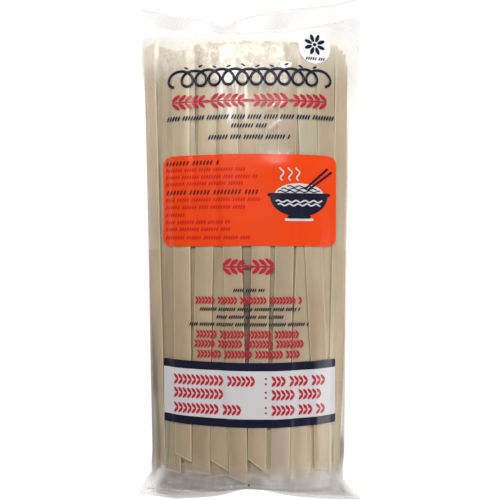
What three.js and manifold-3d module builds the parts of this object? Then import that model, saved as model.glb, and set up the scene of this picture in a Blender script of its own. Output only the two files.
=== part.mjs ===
// A sealed pillow pack of flat dried rice sticks, lying on its back with its printed face up.
// Millimetres: +X runs across the pack, +Y towards its top seal and +Z up from what it lies on.

import * as THREE from 'three';
import { mergeVertices } from 'three/addons/utils/BufferGeometryUtils.js';
import Module from 'manifold-3d';

// One rice stick, a flat ribbon with square edges.
const STICK = { width: 10, thick: 1, sunk: 2.4, stations: 9 };

// The filled body: its widest level, and its rise over that level to the front and to the back. The
// front has a low ridge, a little right of the middle. A larger fullness is a squarer section.
const BODY = { top: 112.5, bottom: -124.5, middle: 16.5, front: 24, back: 19, base: 0.9 };
const RIDGE = 0.14;
const FULLNESS = { frontLeft: 1.8, frontRight: 2.1, back: 3.4 };
const END_THINNING = 0.1;

// Where the sticks stop short of the bag's ends: the upper right corner is empty film, and both
// lower corners slope.
const EMPTY_TOP_RIGHT = { from: 42, span: 12, depth: 14 };
const LOW_LEFT = { from: 8, span: 46, depth: 6.5 };
const LOW_RIGHT = { from: 12, span: 46, depth: 2.5 };
const SHOULDER = { round: 2.4, steep: 0.75 };

// The side edges of the film. Each keeps a slow taper, flares towards the top seal and ends in an
// ear at the bottom seal.
const LEFT_EDGE = {
  reach: 56.7,
  taper: 0.0205,
  flare: 1.9,
  flareFrom: 82,
  flareTo: 115,
  earFrom: -124.6,
  earSlope: 0.62,
};
const RIGHT_EDGE = {
  reach: 53.6,
  taper: 0.0105,
  flare: 8,
  flareFrom: 62,
  flareTo: 138,
  earFrom: -129.6,
  earSlope: 0.94,
};

// The two sealed ends. Film is far thinner than its solid here, which has to hold together.
const SEAL = { thick: 0.9, topLevel: 14, topWave: 2.5, waveLength: 60, bottomLevel: 15, bottomDroop: 5 };
const TOP_EDGE = {
  middle: 132.5,
  slope: 0.165,
  cornerLift: 14.9,
  cornerAt: 62,
  dip: 2.9,
  dipAt: -15.6,
  dipWidth: 5.7,
};
const TOP_ROOT = {
  middle: 122.2,
  left: 3.9,
  leftFrom: 26,
  leftSpan: 36,
  right: 9.3,
  rightFrom: 8,
  rightSpan: 52,
};
const BOTTOM_EDGE = {
  notch: -136.8,
  leftSag: 6.3,
  leftSpan: 14,
  rightSag: 6.7,
  rightSpan: 19,
  lift: 3.4,
  liftFrom: 42,
  liftSpan: 23,
};
const BOTTOM_FLAP = 4.2;

// The fin seal, the lengthwise joint of the film, folded flat on the back.
const FIN = { width: 12, offset: 3, proud: 0.9 };

// Grid of the body: across the pack, and along it for the body, each shoulder and each flap.
const GRID = { columns: 36, body: 9, shoulder: 5, flap: 3 };

// The sticks that show on the front, from left to right: centre at mid-length, lean in mm of
// sideways run for each mm of length, ends, how much further the right corner of the lower end
// reaches, and how far it stands out from the bag between the sticks.
const FRONT_STICKS = [
  { x: -49.4, lean: 0.006, top: 111.5, bottom: -117, slant: 2, lift: 1.5 },
  { x: -38.6, lean: -0.004, top: 108.6, bottom: -122.6, slant: 0.8, lift: 0.9 },
  { x: -37.2, lean: -0.006, top: 108, bottom: -113, slant: 3.2, lift: 1.9 },
  { x: -24.1, lean: 0.02, top: 110.2, bottom: -120.6, slant: 0.4, lift: 0.9 },
  { x: -13.7, lean: 0.032, top: 110.6, bottom: -115.8, slant: 4.8, lift: 1.7 },
  { x: -3.1, lean: 0.032, top: 111.2, bottom: -123, slant: 3.6, lift: 0.8 },
  { x: 7, lean: 0.028, top: 110.4, bottom: -115.4, slant: 7.2, lift: 1.5 },
  { x: 18.3, lean: 0.022, top: 111.4, bottom: -122.6, slant: 0, lift: 1.8 },
  { x: 28.7, lean: 0.042, top: 110.6, bottom: -122.4, slant: -0.8, lift: 0.9 },
  { x: 37.9, lean: 0.052, top: 109.4, bottom: -120.4, slant: 2, lift: 1.6 },
  { x: 46.7, lean: 0.034, top: 105.4, bottom: -124.4, slant: 1, lift: 1.2 },
];

// The sticks of the back lie side by side on each side of the fin seal.
const BACK_STICKS = {
  perSide: 3,
  pitch: 10.6,
  length: 226,
  lengthSpread: 5,
  wander: 0.2,
  lifts: [0.45, 0.9],
};

// No stick lies quite square to the bag: one long edge is a little higher than the other.
const STICK_TILT = 0.35;

// Long edges of the stacked sticks press the film out along both sides.
const SIDE_STICKS = { levels: [8, 12, 16, 20, 24], proud: 0.7, bottom: -116, endSpread: 7 };

const RICE_COLOUR = '#c6b48d';
const FILM_ROUGHNESS = 0.25;
const SEED = 4211;

// A small repeatable random source, giving numbers from 0 to 1.
function randomSource(seed) {
  let state = seed;
  return () => {
    state = (state * 16807) % 2147483647;
    return state / 2147483647;
  };
}

const random = randomSource(SEED);
const spread = (amount) => (random() * 2 - 1) * amount;
const { clamp, lerp, smoothstep } = THREE.MathUtils;

// ---- outline ----

function sideReach(edge, y) {
  const flare = edge.flare * smoothstep(y, edge.flareFrom, edge.flareTo);
  const ear = edge.earSlope * Math.max(0, edge.earFrom - y);
  return edge.reach + edge.taper * y + flare + ear;
}

const leftEdge = (y) => -sideReach(LEFT_EDGE, y);
const rightEdge = (y) => sideReach(RIGHT_EDGE, y);

function topEdge(x) {
  const corner = TOP_EDGE.cornerLift * (Math.max(0, -x) / TOP_EDGE.cornerAt) ** 2;
  const dip = TOP_EDGE.dip * Math.exp(-(((x - TOP_EDGE.dipAt) / TOP_EDGE.dipWidth) ** 2));
  return TOP_EDGE.middle + TOP_EDGE.slope * x + corner - dip;
}

function topRoot(x) {
  const left = TOP_ROOT.left * (Math.max(0, -x - TOP_ROOT.leftFrom) / TOP_ROOT.leftSpan) ** 2;
  const right = TOP_ROOT.right * (Math.max(0, x - TOP_ROOT.rightFrom) / TOP_ROOT.rightSpan) ** 1.3;
  return TOP_ROOT.middle + left + right;
}

function bottomEdge(x) {
  const sag = x < 0 ? BOTTOM_EDGE.leftSag : BOTTOM_EDGE.rightSag;
  const span = x < 0 ? BOTTOM_EDGE.leftSpan : BOTTOM_EDGE.rightSpan;
  const share = x ** 2 / (x ** 2 + span ** 2);
  const lift = BOTTOM_EDGE.lift * (Math.max(0, -x - BOTTOM_EDGE.liftFrom) / BOTTOM_EDGE.liftSpan);
  return BOTTOM_EDGE.notch - sag * share + lift;
}

const bottomRoot = (x) => bottomEdge(x) + BOTTOM_FLAP;

// ---- surface of the filled bag ----

const squaredPast = (distance, corner) => (Math.max(0, distance - corner.from) / corner.span) ** 2;

const bodyTop = (x) => BODY.top - EMPTY_TOP_RIGHT.depth * squaredPast(x, EMPTY_TOP_RIGHT);

function bodyBottom(x) {
  const left = LOW_LEFT.depth * squaredPast(-x, LOW_LEFT);
  const right = LOW_RIGHT.depth * squaredPast(x, LOW_RIGHT);
  return BODY.bottom + left + right;
}

// How a level drops round a shoulder: 1 at the body, 0 where the seal starts.
const shoulderFall = (t) => Math.max(0, 1 - t ** SHOULDER.round) ** SHOULDER.steep;

function bodyRise(y) {
  const end = clamp(y / BODY.top, -1, 1);
  return 1 - END_THINNING * end ** 4;
}

const bulge = (share, fullness) => Math.max(0, 1 - Math.abs(share) ** fullness) ** (1 / fullness);

// Level of the front or back of a section at u, from -1 at the left edge to 1 at the right edge.
// fill is 1 in the body and falls to 0 at a seal; middle is the level of the section's side edges.
function sectionLevel(u, isFront, fill, middle) {
  const half = SEAL.thick / 2;
  if (!isFront) {
    return Math.max(BODY.base, middle - half - (BODY.back - half) * fill * bulge(u, FULLNESS.back));
  }
  const isLeft = u < RIDGE;
  const share = (u - RIDGE) / (isLeft ? 1 + RIDGE : 1 - RIDGE);
  const round = bulge(share, isLeft ? FULLNESS.frontLeft : FULLNESS.frontRight);
  return middle + half + (BODY.front - half) * fill * round;
}

function topFlapLevel(x, t) {
  return SEAL.topLevel + SEAL.topWave * t * Math.sin((x / SEAL.waveLength) * 2 * Math.PI);
}

function bottomFlapLevel(t) {
  return SEAL.bottomLevel - SEAL.bottomDroop * t ** 1.4;
}

// A station is a line across the pack. It gives y at a place across, and the section there.
function bodyStation(t) {
  const y = (x) => lerp(bodyBottom(x), bodyTop(x), t);
  return { y, fill: bodyRise(y(0)), middle: () => BODY.middle };
}

function shoulderStation(t, start, root, level) {
  return {
    y: (x) => lerp(start(x), root(x), t),
    fill: bodyRise(start(0)) * shoulderFall(t),
    middle: (x) => lerp(BODY.middle, level(x), smoothstep(t, 0, 1)),
  };
}

function flapStation(t, root, edge, level) {
  return { y: (x) => lerp(root(x), edge(x), t), fill: 0, middle: (x) => level(x, t) };
}

function stations() {
  const list = [];
  const bottomLevel = () => bottomFlapLevel(0);
  const topLevel = (x) => topFlapLevel(x, 0);
  for (let i = GRID.flap; i > 0; i -= 1) {
    list.push(flapStation(i / GRID.flap, bottomRoot, bottomEdge, (x, t) => bottomFlapLevel(t)));
  }
  for (let i = GRID.shoulder; i > 0; i -= 1) {
    list.push(shoulderStation(i / GRID.shoulder, bodyBottom, bottomRoot, bottomLevel));
  }
  for (let i = 0; i <= GRID.body; i += 1) {
    list.push(bodyStation(i / GRID.body));
  }
  for (let i = 1; i <= GRID.shoulder; i += 1) {
    list.push(shoulderStation(i / GRID.shoulder, bodyTop, topRoot, topLevel));
  }
  for (let i = 1; i <= GRID.flap; i += 1) {
    list.push(flapStation(i / GRID.flap, topRoot, topEdge, topFlapLevel));
  }
  return list;
}

// ---- solids ----

let wasm;

function toSolid(geometry) {
  const bare = geometry.clone();
  bare.deleteAttribute('normal');
  bare.deleteAttribute('uv');
  const merged = mergeVertices(bare, 1e-5);
  return new wasm.Manifold(new wasm.Mesh({
    numProp: 3,
    vertProperties: new Float32Array(merged.attributes.position.array),
    triVerts: new Uint32Array(merged.index.array),
  }));
}

function toGeometry(solid) {
  const mesh = solid.getMesh();
  const geometry = new THREE.BufferGeometry();
  geometry.setAttribute('position', new THREE.BufferAttribute(new Float32Array(mesh.vertProperties), 3));
  geometry.setIndex(new THREE.BufferAttribute(new Uint32Array(mesh.triVerts), 1));
  geometry.computeVertexNormals();
  return geometry;
}

// Bends a box of sides 2 by 2 by 2: place(u, v, w) gives the point for u, v and w from -1 to 1.
function bentBox(columns, rows, place) {
  const geometry = new THREE.BoxGeometry(2, 2, 2, columns, rows, 1);
  const position = geometry.attributes.position;
  for (let i = 0; i < position.count; i += 1) {
    const point = place(position.getX(i), position.getY(i), position.getZ(i));
    position.setXYZ(i, point.x, point.y, point.z);
  }
  return toSolid(geometry);
}

function filledBag() {
  const lines = stations();
  const last = lines.length - 1;
  return bentBox(GRID.columns, last, (across, along, face) => {
    const line = lines[Math.round(((along + 1) / 2) * last)];
    const u = Math.sin((across * Math.PI) / 2);
    const left = leftEdge(line.y(-LEFT_EDGE.reach));
    const right = rightEdge(line.y(RIGHT_EDGE.reach));
    const x = lerp(left, right, (u + 1) / 2);
    return { x, y: line.y(x), z: sectionLevel(u, face > 0, line.fill, line.middle(x)) };
  });
}

// Place across the body at x, from -1 to 1.
function acrossBody(x, y) {
  const left = leftEdge(y);
  const right = rightEdge(y);
  return clamp((2 * (x - left)) / (right - left) - 1, -1, 1);
}

function bodyLevel(x, y, isFront) {
  return sectionLevel(acrossBody(x, y), isFront, bodyRise(y), BODY.middle);
}

// A stick on the front or back: straight across its own width, and bent only along its length.
function faceStick(stick, isFront) {
  const half = STICK.width / 2;
  const outward = isFront ? 1 : -1;
  return bentBox(1, STICK.stations, (across, along, face) => {
    const slant = (stick.slant * across * Math.min(0, along)) / 2;
    const y = lerp(stick.bottom, stick.top, (along + 1) / 2) + slant;
    const x = stick.x + stick.lean * y + half * across;
    const outer = bodyLevel(x, y, isFront) + outward * (stick.lift + stick.tilt * across);
    return { x, y, z: face === outward ? outer : outer - outward * STICK.sunk };
  });
}

function frontSticks() {
  return FRONT_STICKS.map((stick) => faceStick({ ...stick, tilt: spread(STICK_TILT) }, true));
}

function backSticks() {
  const solids = [];
  const start = (FIN.width + BACK_STICKS.pitch) / 2;
  for (const side of [-1, 1]) {
    for (let i = 0; i < BACK_STICKS.perSide; i += 1) {
      const half = BACK_STICKS.length / 2 + spread(BACK_STICKS.lengthSpread);
      solids.push(faceStick({
        x: FIN.offset + side * (start + i * BACK_STICKS.pitch),
        lean: spread(BACK_STICKS.wander) / half,
        top: BODY.top - BACK_STICKS.lengthSpread + spread(BACK_STICKS.lengthSpread),
        bottom: BODY.top - 2 * half,
        slant: spread(BACK_STICKS.lengthSpread),
        lift: BACK_STICKS.lifts[i % BACK_STICKS.lifts.length],
        tilt: 0,
      }, false));
    }
  }
  return solids;
}

// How far across the body its side is at a level, from -1 to 1.
function acrossAtLevel(side, z) {
  if (z <= BODY.middle) {
    return side * bulge((BODY.middle - z) / BODY.back, FULLNESS.back);
  }
  const fullness = side < 0 ? FULLNESS.frontLeft : FULLNESS.frontRight;
  return RIDGE + (side - RIDGE) * bulge((z - BODY.middle) / BODY.front, fullness);
}

function sideStick(side, level, top, bottom) {
  const u = acrossAtLevel(side, level);
  return bentBox(1, STICK.stations, (across, along, face) => {
    const y = lerp(bottom, top, (along + 1) / 2);
    const outer = lerp(leftEdge(y), rightEdge(y), (u + 1) / 2) + side * SIDE_STICKS.proud;
    const x = across === side ? outer : outer - side * STICK.width;
    return { x, y, z: level + (face * STICK.thick) / 2 };
  });
}

function sideSticks() {
  const solids = [];
  for (const side of [-1, 1]) {
    const bodyEnd = bodyTop(side > 0 ? rightEdge(BODY.top) : leftEdge(BODY.top));
    for (const level of SIDE_STICKS.levels) {
      const top = bodyEnd - SIDE_STICKS.endSpread * random();
      const bottom = SIDE_STICKS.bottom + SIDE_STICKS.endSpread * random();
      solids.push(sideStick(side, level, top, bottom));
    }
  }
  return solids;
}

function finSeal() {
  return bentBox(1, STICK.stations, (across, along, face) => {
    const x = FIN.offset + (FIN.width / 2) * across;
    const y = lerp(BODY.bottom, BODY.top, (along + 1) / 2);
    const outer = bodyLevel(x, y, false) - FIN.proud;
    return { x, y, z: face < 0 ? outer : outer + STICK.sunk };
  });
}

// ---- the pack ----

wasm = await Module();
wasm.setup();

const pieces = [...frontSticks(), ...backSticks(), ...sideSticks(), finSeal()];
const packSolid = pieces.reduce((sum, piece) => sum.add(piece), filledBag());

const packGeometry = toGeometry(packSolid);
packGeometry.computeBoundingBox();
const middle = packGeometry.boundingBox.getCenter(new THREE.Vector3());
packGeometry.translate(-middle.x, -middle.y, -packGeometry.boundingBox.min.z);

const pack = new THREE.Mesh(packGeometry, new THREE.MeshStandardMaterial({
  color: RICE_COLOUR,
  roughness: FILM_ROUGHNESS,
  metalness: 0,
}));
pack.name = 'sealed_pack';

const group = new THREE.Group();
group.add(pack);

export default group;
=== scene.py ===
"""A clear sealed pillow pack of flat dried rice sticks, lying on its back with the printed face up.

Lengths inside the functions are millimetres, with +X across the pack, +Y towards its top seal and +Z up.
Meshes are handed over in metres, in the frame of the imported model.
"""

import math
from collections import namedtuple
from functools import lru_cache
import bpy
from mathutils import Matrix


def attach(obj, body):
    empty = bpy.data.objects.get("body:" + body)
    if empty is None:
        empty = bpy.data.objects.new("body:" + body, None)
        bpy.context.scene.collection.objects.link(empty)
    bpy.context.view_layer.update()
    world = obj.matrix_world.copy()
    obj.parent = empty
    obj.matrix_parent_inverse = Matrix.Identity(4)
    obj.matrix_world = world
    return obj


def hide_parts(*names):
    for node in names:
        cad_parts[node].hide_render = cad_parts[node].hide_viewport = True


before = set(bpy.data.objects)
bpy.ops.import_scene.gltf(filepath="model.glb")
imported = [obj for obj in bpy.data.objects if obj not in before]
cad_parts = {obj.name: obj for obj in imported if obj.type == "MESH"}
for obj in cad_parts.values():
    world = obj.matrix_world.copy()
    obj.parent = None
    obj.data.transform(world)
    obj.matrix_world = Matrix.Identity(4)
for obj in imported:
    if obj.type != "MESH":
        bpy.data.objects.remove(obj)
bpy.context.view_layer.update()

from types import SimpleNamespace as Named

import bpy
import numpy as np
from bpy.props import FloatProperty, FloatVectorProperty, IntProperty, PointerProperty
from mathutils import Vector

bl_info = {
    "name": "Sealed pack of rice sticks",
    "version": (1, 0, 0),
    "blender": (4, 5, 0),
    "location": "3D View > Sidebar > Rice pack",
    "description": "Builds a clear film pack of flat dried rice sticks around the packed frame",
    "category": "Object",
}

CAD_NODE = "sealed_pack"
BODY_NAME = "root"
MM = 0.001
TURN = 2.0 * math.pi

# ---- the bag's outline and section, as in the solid ----

# How far the middle of the solid's box lies from the lines that the outline is measured from.
CENTRE = (0.374, -0.028)

BODY = Named(top=112.5, bottom=-124.5, middle=16.5, front=24.0, back=19.0, base=0.9, edge=0.45)
RIDGE = 0.14
FULLNESS = Named(front_left=1.8, front_right=2.1, back=3.4)
END_THINNING = 0.1
EMPTY_TOP_RIGHT = Named(start=42.0, span=12.0, depth=14.0)
LOW_LEFT = Named(start=8.0, span=46.0, depth=6.5)
LOW_RIGHT = Named(start=12.0, span=46.0, depth=2.5)
SHOULDER = Named(round=2.4, steep=0.75, ease=1.7)
LEFT_EDGE = Named(
    reach=56.7, taper=0.0205, flare=1.9, flare_from=82.0, flare_to=115.0, ear_from=-124.6, ear_slope=0.62
)
RIGHT_EDGE = Named(
    reach=53.6, taper=0.0105, flare=8.0, flare_from=62.0, flare_to=138.0, ear_from=-129.6, ear_slope=0.94
)
SIDE_SWELL = Named(out=0.7, low=-118.0, high=112.0, soft=6.0)
LEFT_EAR_SWELL = Named(out=1.4, low=-136.0, high=-117.0, soft=6.0)
RIGHT_SWELL = Named(out=0.8, at=46.0, half=40.0)
# The sides of the stack of sticks: they don't follow the flare of the film, and draw in at the low end.
STACK = Named(left=57.2, right=54.1, left_in=3.4, right_in=2.4, in_from=48.0, in_to=108.0)
SEAL = Named(
    top_level=14.0, top_wave=2.5, wave_length=60.0, bottom_level=15.0, bottom_droop=5.0, droop_bend=1.4
)
TOP_EDGE = Named(
    middle=132.5, slope=0.165, corner_lift=14.9, corner_at=62.0, dip=2.9, dip_at=-15.6, dip_width=5.7
)
TOP_ROOT = Named(
    middle=122.2, left=3.9, left_from=26.0, left_span=36.0,
    right=9.3, right_from=8.0, right_span=52.0, right_bend=1.3,
)
BOTTOM_EDGE = Named(
    notch=-136.8, left_sag=6.3, left_span=14.0, right_sag=6.7, right_span=19.0,
    lift=3.4, lift_from=42.0, lift_span=23.0,
)
BOTTOM_FLAP = 4.2
FIN = Named(width=12.0, offset=3.0, low=0.02, high=0.5, pitch=1.2, rows=180, columns=12)


def smoothstep(value, low, high):
    t = np.clip((value - low) / (high - low), 0.0, 1.0)
    return t * t * (3.0 - 2.0 * t)


def lerp(start, end, t):
    return start + (end - start) * t


def window(value, low, high, soft):
    """1 between low and high, and 0 outside them."""
    return smoothstep(value, low - soft, low + soft) * (1.0 - smoothstep(value, high - soft, high + soft))


def bell(value, at, width):
    return np.exp(-(((value - at) / width) ** 2))


def past(value, start, span):
    """0 up to the start, and 1 a span further on."""
    return np.maximum(0.0, value - start) / span


def side_reach(edge, y):
    flare = edge.flare * smoothstep(y, edge.flare_from, edge.flare_to)
    return edge.reach + edge.taper * y + flare + edge.ear_slope * np.maximum(0.0, edge.ear_from - y)


def side_swell(y, swell=SIDE_SWELL):
    return swell.out * window(y, swell.low, swell.high, swell.soft)


def right_swell(y):
    return RIGHT_SWELL.out * bell(y, RIGHT_SWELL.at, RIGHT_SWELL.half)


def left_edge(y):
    return -side_reach(LEFT_EDGE, y) - side_swell(y) - side_swell(y, LEFT_EAR_SWELL)


def right_edge(y):
    return side_reach(RIGHT_EDGE, y) + side_swell(y) + right_swell(y)


def stack_left(y):
    return -(STACK.left + LEFT_EDGE.taper * y) + STACK.left_in * smoothstep(-y, STACK.in_from, STACK.in_to)


def stack_right(y):
    drawn_in = STACK.right_in * smoothstep(-y, STACK.in_from, STACK.in_to)
    return STACK.right + RIGHT_EDGE.taper * y - drawn_in + right_swell(y)


def top_edge(x):
    corner = TOP_EDGE.corner_lift * past(-x, 0.0, TOP_EDGE.corner_at) ** 2
    dip = TOP_EDGE.dip * bell(x, TOP_EDGE.dip_at, TOP_EDGE.dip_width)
    return TOP_EDGE.middle + TOP_EDGE.slope * x + corner - dip


def top_root(x):
    left = TOP_ROOT.left * past(-x, TOP_ROOT.left_from, TOP_ROOT.left_span) ** 2
    right = TOP_ROOT.right * past(x, TOP_ROOT.right_from, TOP_ROOT.right_span) ** TOP_ROOT.right_bend
    return TOP_ROOT.middle + left + right


def bottom_edge(x):
    sag = np.where(x < 0, BOTTOM_EDGE.left_sag, BOTTOM_EDGE.right_sag)
    span = np.where(x < 0, BOTTOM_EDGE.left_span, BOTTOM_EDGE.right_span)
    lift = BOTTOM_EDGE.lift * past(-x, BOTTOM_EDGE.lift_from, BOTTOM_EDGE.lift_span)
    return BOTTOM_EDGE.notch - sag * x**2 / (x**2 + span**2) + lift


def bottom_root(x):
    return bottom_edge(x) + BOTTOM_FLAP


def corner_slope(distance, corner):
    return corner.depth * past(distance, corner.start, corner.span) ** 2


def body_top(x):
    return BODY.top - corner_slope(x, EMPTY_TOP_RIGHT)


def body_bottom(x):
    return BODY.bottom + corner_slope(-x, LOW_LEFT) + corner_slope(x, LOW_RIGHT)


def body_rise(y):
    return 1.0 - END_THINNING * np.clip(y / BODY.top, -1.0, 1.0) ** 4


def bulge(share, fullness):
    return np.maximum(0.0, 1.0 - np.abs(share) ** fullness) ** (1.0 / fullness)


def front_level(u, fill, middle, half):
    """Level of the front film at u, from -1 at the left edge to 1 at the right edge."""
    is_left = u < RIDGE
    share = (u - RIDGE) / np.where(is_left, 1.0 + RIDGE, 1.0 - RIDGE)
    crown = np.where(is_left, bulge(share, FULLNESS.front_left), bulge(share, FULLNESS.front_right))
    return middle + half + (BODY.front - half) * fill * crown


def back_level(u, fill, middle, half):
    return np.maximum(BODY.base, middle - half - (BODY.back - half) * fill * bulge(u, FULLNESS.back))


def share_across(x, left, right):
    return np.clip(2.0 * (x - left) / (right - left) - 1.0, -1.0, 1.0)


def body_front(x, y):
    return front_level(share_across(x, left_edge(y), right_edge(y)), body_rise(y), BODY.middle, BODY.edge)


def body_back(x, y):
    return back_level(share_across(x, left_edge(y), right_edge(y)), body_rise(y), BODY.middle, BODY.edge)


def across_stack(x, y):
    return share_across(x, stack_left(y), stack_right(y))


def stack_front(x, y):
    return front_level(across_stack(x, y), body_rise(y), BODY.middle, BODY.edge)


def to_metres(points):
    """Points in millimetres from the outline's own lines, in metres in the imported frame."""
    return (np.asarray(points, float) - (*CENTRE, 0.0)) * MM


# ---- the sticks ----

STATIONS = 16

# Levels along the pack at which the place and the height of a front stick are given, and over how much
# of its length it bends from one course to the next.
PLACE_AT = (-98.0, -26.0, 56.0, 108.0)
LIFT_AT = (-98.0, -26.0, 56.0)
BEND = 22.0
BEND_STEPS = (-1.0, -0.5, 0.0, 0.5, 1.0)

# A stick that shows on the front: where the middle lies across the pack at each of PLACE_AT, its ends, how
# much lower the right corner of the low end is than the left one, how far the upper face stands out from
# the stack's section at each of LIFT_AT, and how light and how cool the stick is at its low and top ends.
# Several sticks that lie low between others, such as the one at -1.0, have darker tones as painted shade.
FaceStick = namedtuple("FaceStick", "x top bottom cut lifts tone cool")
FRONT_STICKS = [
    ((-49.9, -51.9, -54.1, -56.0), 113.6, -118.4, 1.6, (0.3, 0.3, 0.3), (0.1, 0.3), (0.1, 0.1)),
    ((-47.4, -47.2, -46.4, -45.6), 110.6, -119.4, 1.6, (-0.62, -0.62, -0.62), (0.0, 0.0), (0.0, 0.0)),
    ((-42.1, -43.0, -41.2, -40.4), 108.3, -121.6, 0.8, (0.0, 0.05, 0.05), (-0.35, -0.35), (0.0, 0.0)),
    ((-36.2, -36.7, -37.3, -37.7), 108.0, -113.0, 3.4, (0.8, 0.8, 0.8), (0.1, 0.4), (0.0, 0.0)),
    ((-30.4, -30.6, -34.3, -34.6), 107.8, -121.0, 1.0, (-0.86, -1.09, -0.94), (-0.35, -0.35), (0.0, 0.0)),
    ((-26.3, -24.8, -22.9, -21.6), 110.8, -120.6, 0.5, (0.2, 0.35, 0.4), (-0.1, 0.3), (0.0, 0.0)),
    ((-16.5, -14.3, -14.2, -13.6), 110.0, -115.8, 5.2, (0.3, -0.4, -0.5), (0.0, 0.0), (0.1, 0.1)),
    ((-6.3, -8.3, -11.1, -12.4), 110.8, -123.0, 3.6, (0.8, 0.84, 0.8), (0.1, 0.1), (0.0, 0.0)),
    ((-1.0, -1.0, -1.0, -1.0), 111.2, -121.0, -1.0, (-1.01, -1.05, -0.05), (-0.4, -0.3), (0.0, 0.0)),
    ((3.9, 5.4, 6.6, 7.3), 110.4, -115.2, 7.4, (0.8, 0.72, -0.86), (0.1, 0.1), (0.0, 0.0)),
    ((11.4, 12.3, 13.3, 13.9), 110.9, -120.0, 1.0, (-0.4, -0.9, -0.05), (0.0, -0.7), (0.2, 0.2)),
    ((16.2, 17.8, 19.6, 20.8), 111.3, -122.6, 0.0, (0.7, 0.7, 0.45), (0.0, -0.85), (0.8, 0.0)),
    ((25.5, 28.4, 31.8, 33.9), 110.0, -122.4, -0.8, (0.0, -0.05, 0.0), (0.3, -0.2), (0.2, 0.2)),
    ((39.1, 35.2, 31.1, 28.5), 110.4, -119.0, 2.2, (0.4, 0.6, 0.35), (-0.3, 0.6), (0.0, 0.0)),
    ((34.8, 34.0, 33.0, 32.0), 108.0, -120.6, 1.0, (-0.7, -0.86, -0.86), (0.5, 0.0), (0.0, 0.0)),
    ((41.8, 41.6, 41.0, 40.6), 109.6, -121.6, 1.0, (-0.4, -0.2, 0.4), (0.5, -0.3), (0.0, 0.0)),
    ((46.1, 47.6, 49.4, 50.4), 106.6, -122.4, 1.0, (0.0, 0.3, 0.4), (0.55, -0.25), (0.0, 0.0)),
]
# How much higher the right corner of the top end is than the left one, for the sticks where it shows.
TOP_CUTS = {0: 1.0, 1: -3.4, 2: -0.5, 3: 1.0, 4: 2.0, 16: -9.0}
SECOND_ROW = Named(first=-46.0, last=47.0, count=10, lift=-1.2, wander=0.015)
# Left of this line the sticks end lower at the top.
LOW_TOPS_LEFT_OF = -28.0
LAYERS = Named(
    lowest=1.1, pitch=2.15, side_room=1.2, front_room=3.5, back_room=0.2, spacing=10.3, ragged=0.25,
    top_back=7.0, low_back=8.0,
)
# Half of the width over which the slope of the stack under a stick is measured.
SLOPE_RUN = 3.5


def slope_tilt(x, y):
    """Turn of a stick that lies along the front section at x: positive is right side down."""
    rise = stack_front(x + SLOPE_RUN, y) - stack_front(x - SLOPE_RUN, y)
    return -np.arctan(rise / (2.0 * SLOPE_RUN))


def face_stick(spec, thick, draws, top_cut=None):
    y = np.linspace(spec.bottom, spec.top, STATIONS)
    phase = draws.uniform(0.0, TURN)
    bow = draws.uniform(-0.25, 0.25)
    places = [np.interp(y + step * BEND, PLACE_AT, spec.x) for step in BEND_STEPS]
    x = np.mean(places, axis=0) + bow * np.cos(y / 75.0 + phase)
    lift = np.interp(y, LIFT_AT, spec.lifts) + 0.04 * np.sin(y / 23.0 + phase)
    twist = math.radians(draws.uniform(-0.8, 0.8)) * np.sin(y / 60.0 + phase)
    z = stack_front(x, y) + lift - thick / 2.0
    cut_high = draws.uniform(-2.5, 2.5) if top_cut is None else top_cut
    tone, cool = (np.linspace(*ends, STATIONS) for ends in (spec.tone, spec.cool))
    tilt = slope_tilt(x, y) + twist
    return Named(x=x, y=y, z=z, tilt=tilt, cut_low=-spec.cut, cut_high=cut_high, tone=tone, cool=cool)


def second_row(thick, draws):
    for x in np.linspace(SECOND_ROW.first, SECOND_ROW.last, SECOND_ROW.count):
        lean = draws.uniform(-SECOND_ROW.wander, SECOND_ROW.wander)
        spec = FaceStick(
            x=x + draws.uniform(-1.5, 1.5) + lean * np.array(PLACE_AT),
            top=float(body_top(x)) - draws.uniform(1.5, 5.0) - (5.0 if x < LOW_TOPS_LEFT_OF else 0.0),
            bottom=float(body_bottom(x)) + draws.uniform(2.0, 8.0),
            cut=draws.uniform(-3.0, 3.0),
            lifts=[SECOND_ROW.lift + draws.uniform(-0.1, 0.1)] * 3,
            # The second row shows in the gaps between the front sticks; its dark tone is painted shade.
            tone=[draws.uniform(-0.7, -0.4)] * 2,
            cool=(0.0, 0.0),
        )
        yield face_stick(spec, thick, draws)


def layer_span(low, high):
    """The widest run across the pack where a layer between two levels fits inside the film."""
    xs = np.arange(stack_left(0.0), stack_right(0.0), 0.25)
    near_side = smoothstep(np.abs(across_stack(xs, 0.0)), 0.9, 1.0)
    front_room = lerp(LAYERS.front_room, LAYERS.side_room, near_side)
    fits = (stack_front(xs, 0.0) - front_room >= high) & (body_back(xs, 0.0) + LAYERS.back_room <= low)
    return (xs[fits].min(), xs[fits].max()) if fits.any() else (0.0, 0.0)


def stacked_layers(width, thick, draws):
    low = LAYERS.lowest
    while True:
        left, right = layer_span(low, low + thick)
        if right - left < width:
            return
        room = right - left - width
        count = int(room // LAYERS.spacing) + 1
        gap = room / max(1, count - 1)
        for i in range(count):
            inset = LAYERS.ragged * draws.random() * (1 if i < count / 2 else -1)
            yield layer_stick(left + width / 2.0 + i * gap + inset, low + thick / 2.0, draws)
        low += LAYERS.pitch


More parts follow.
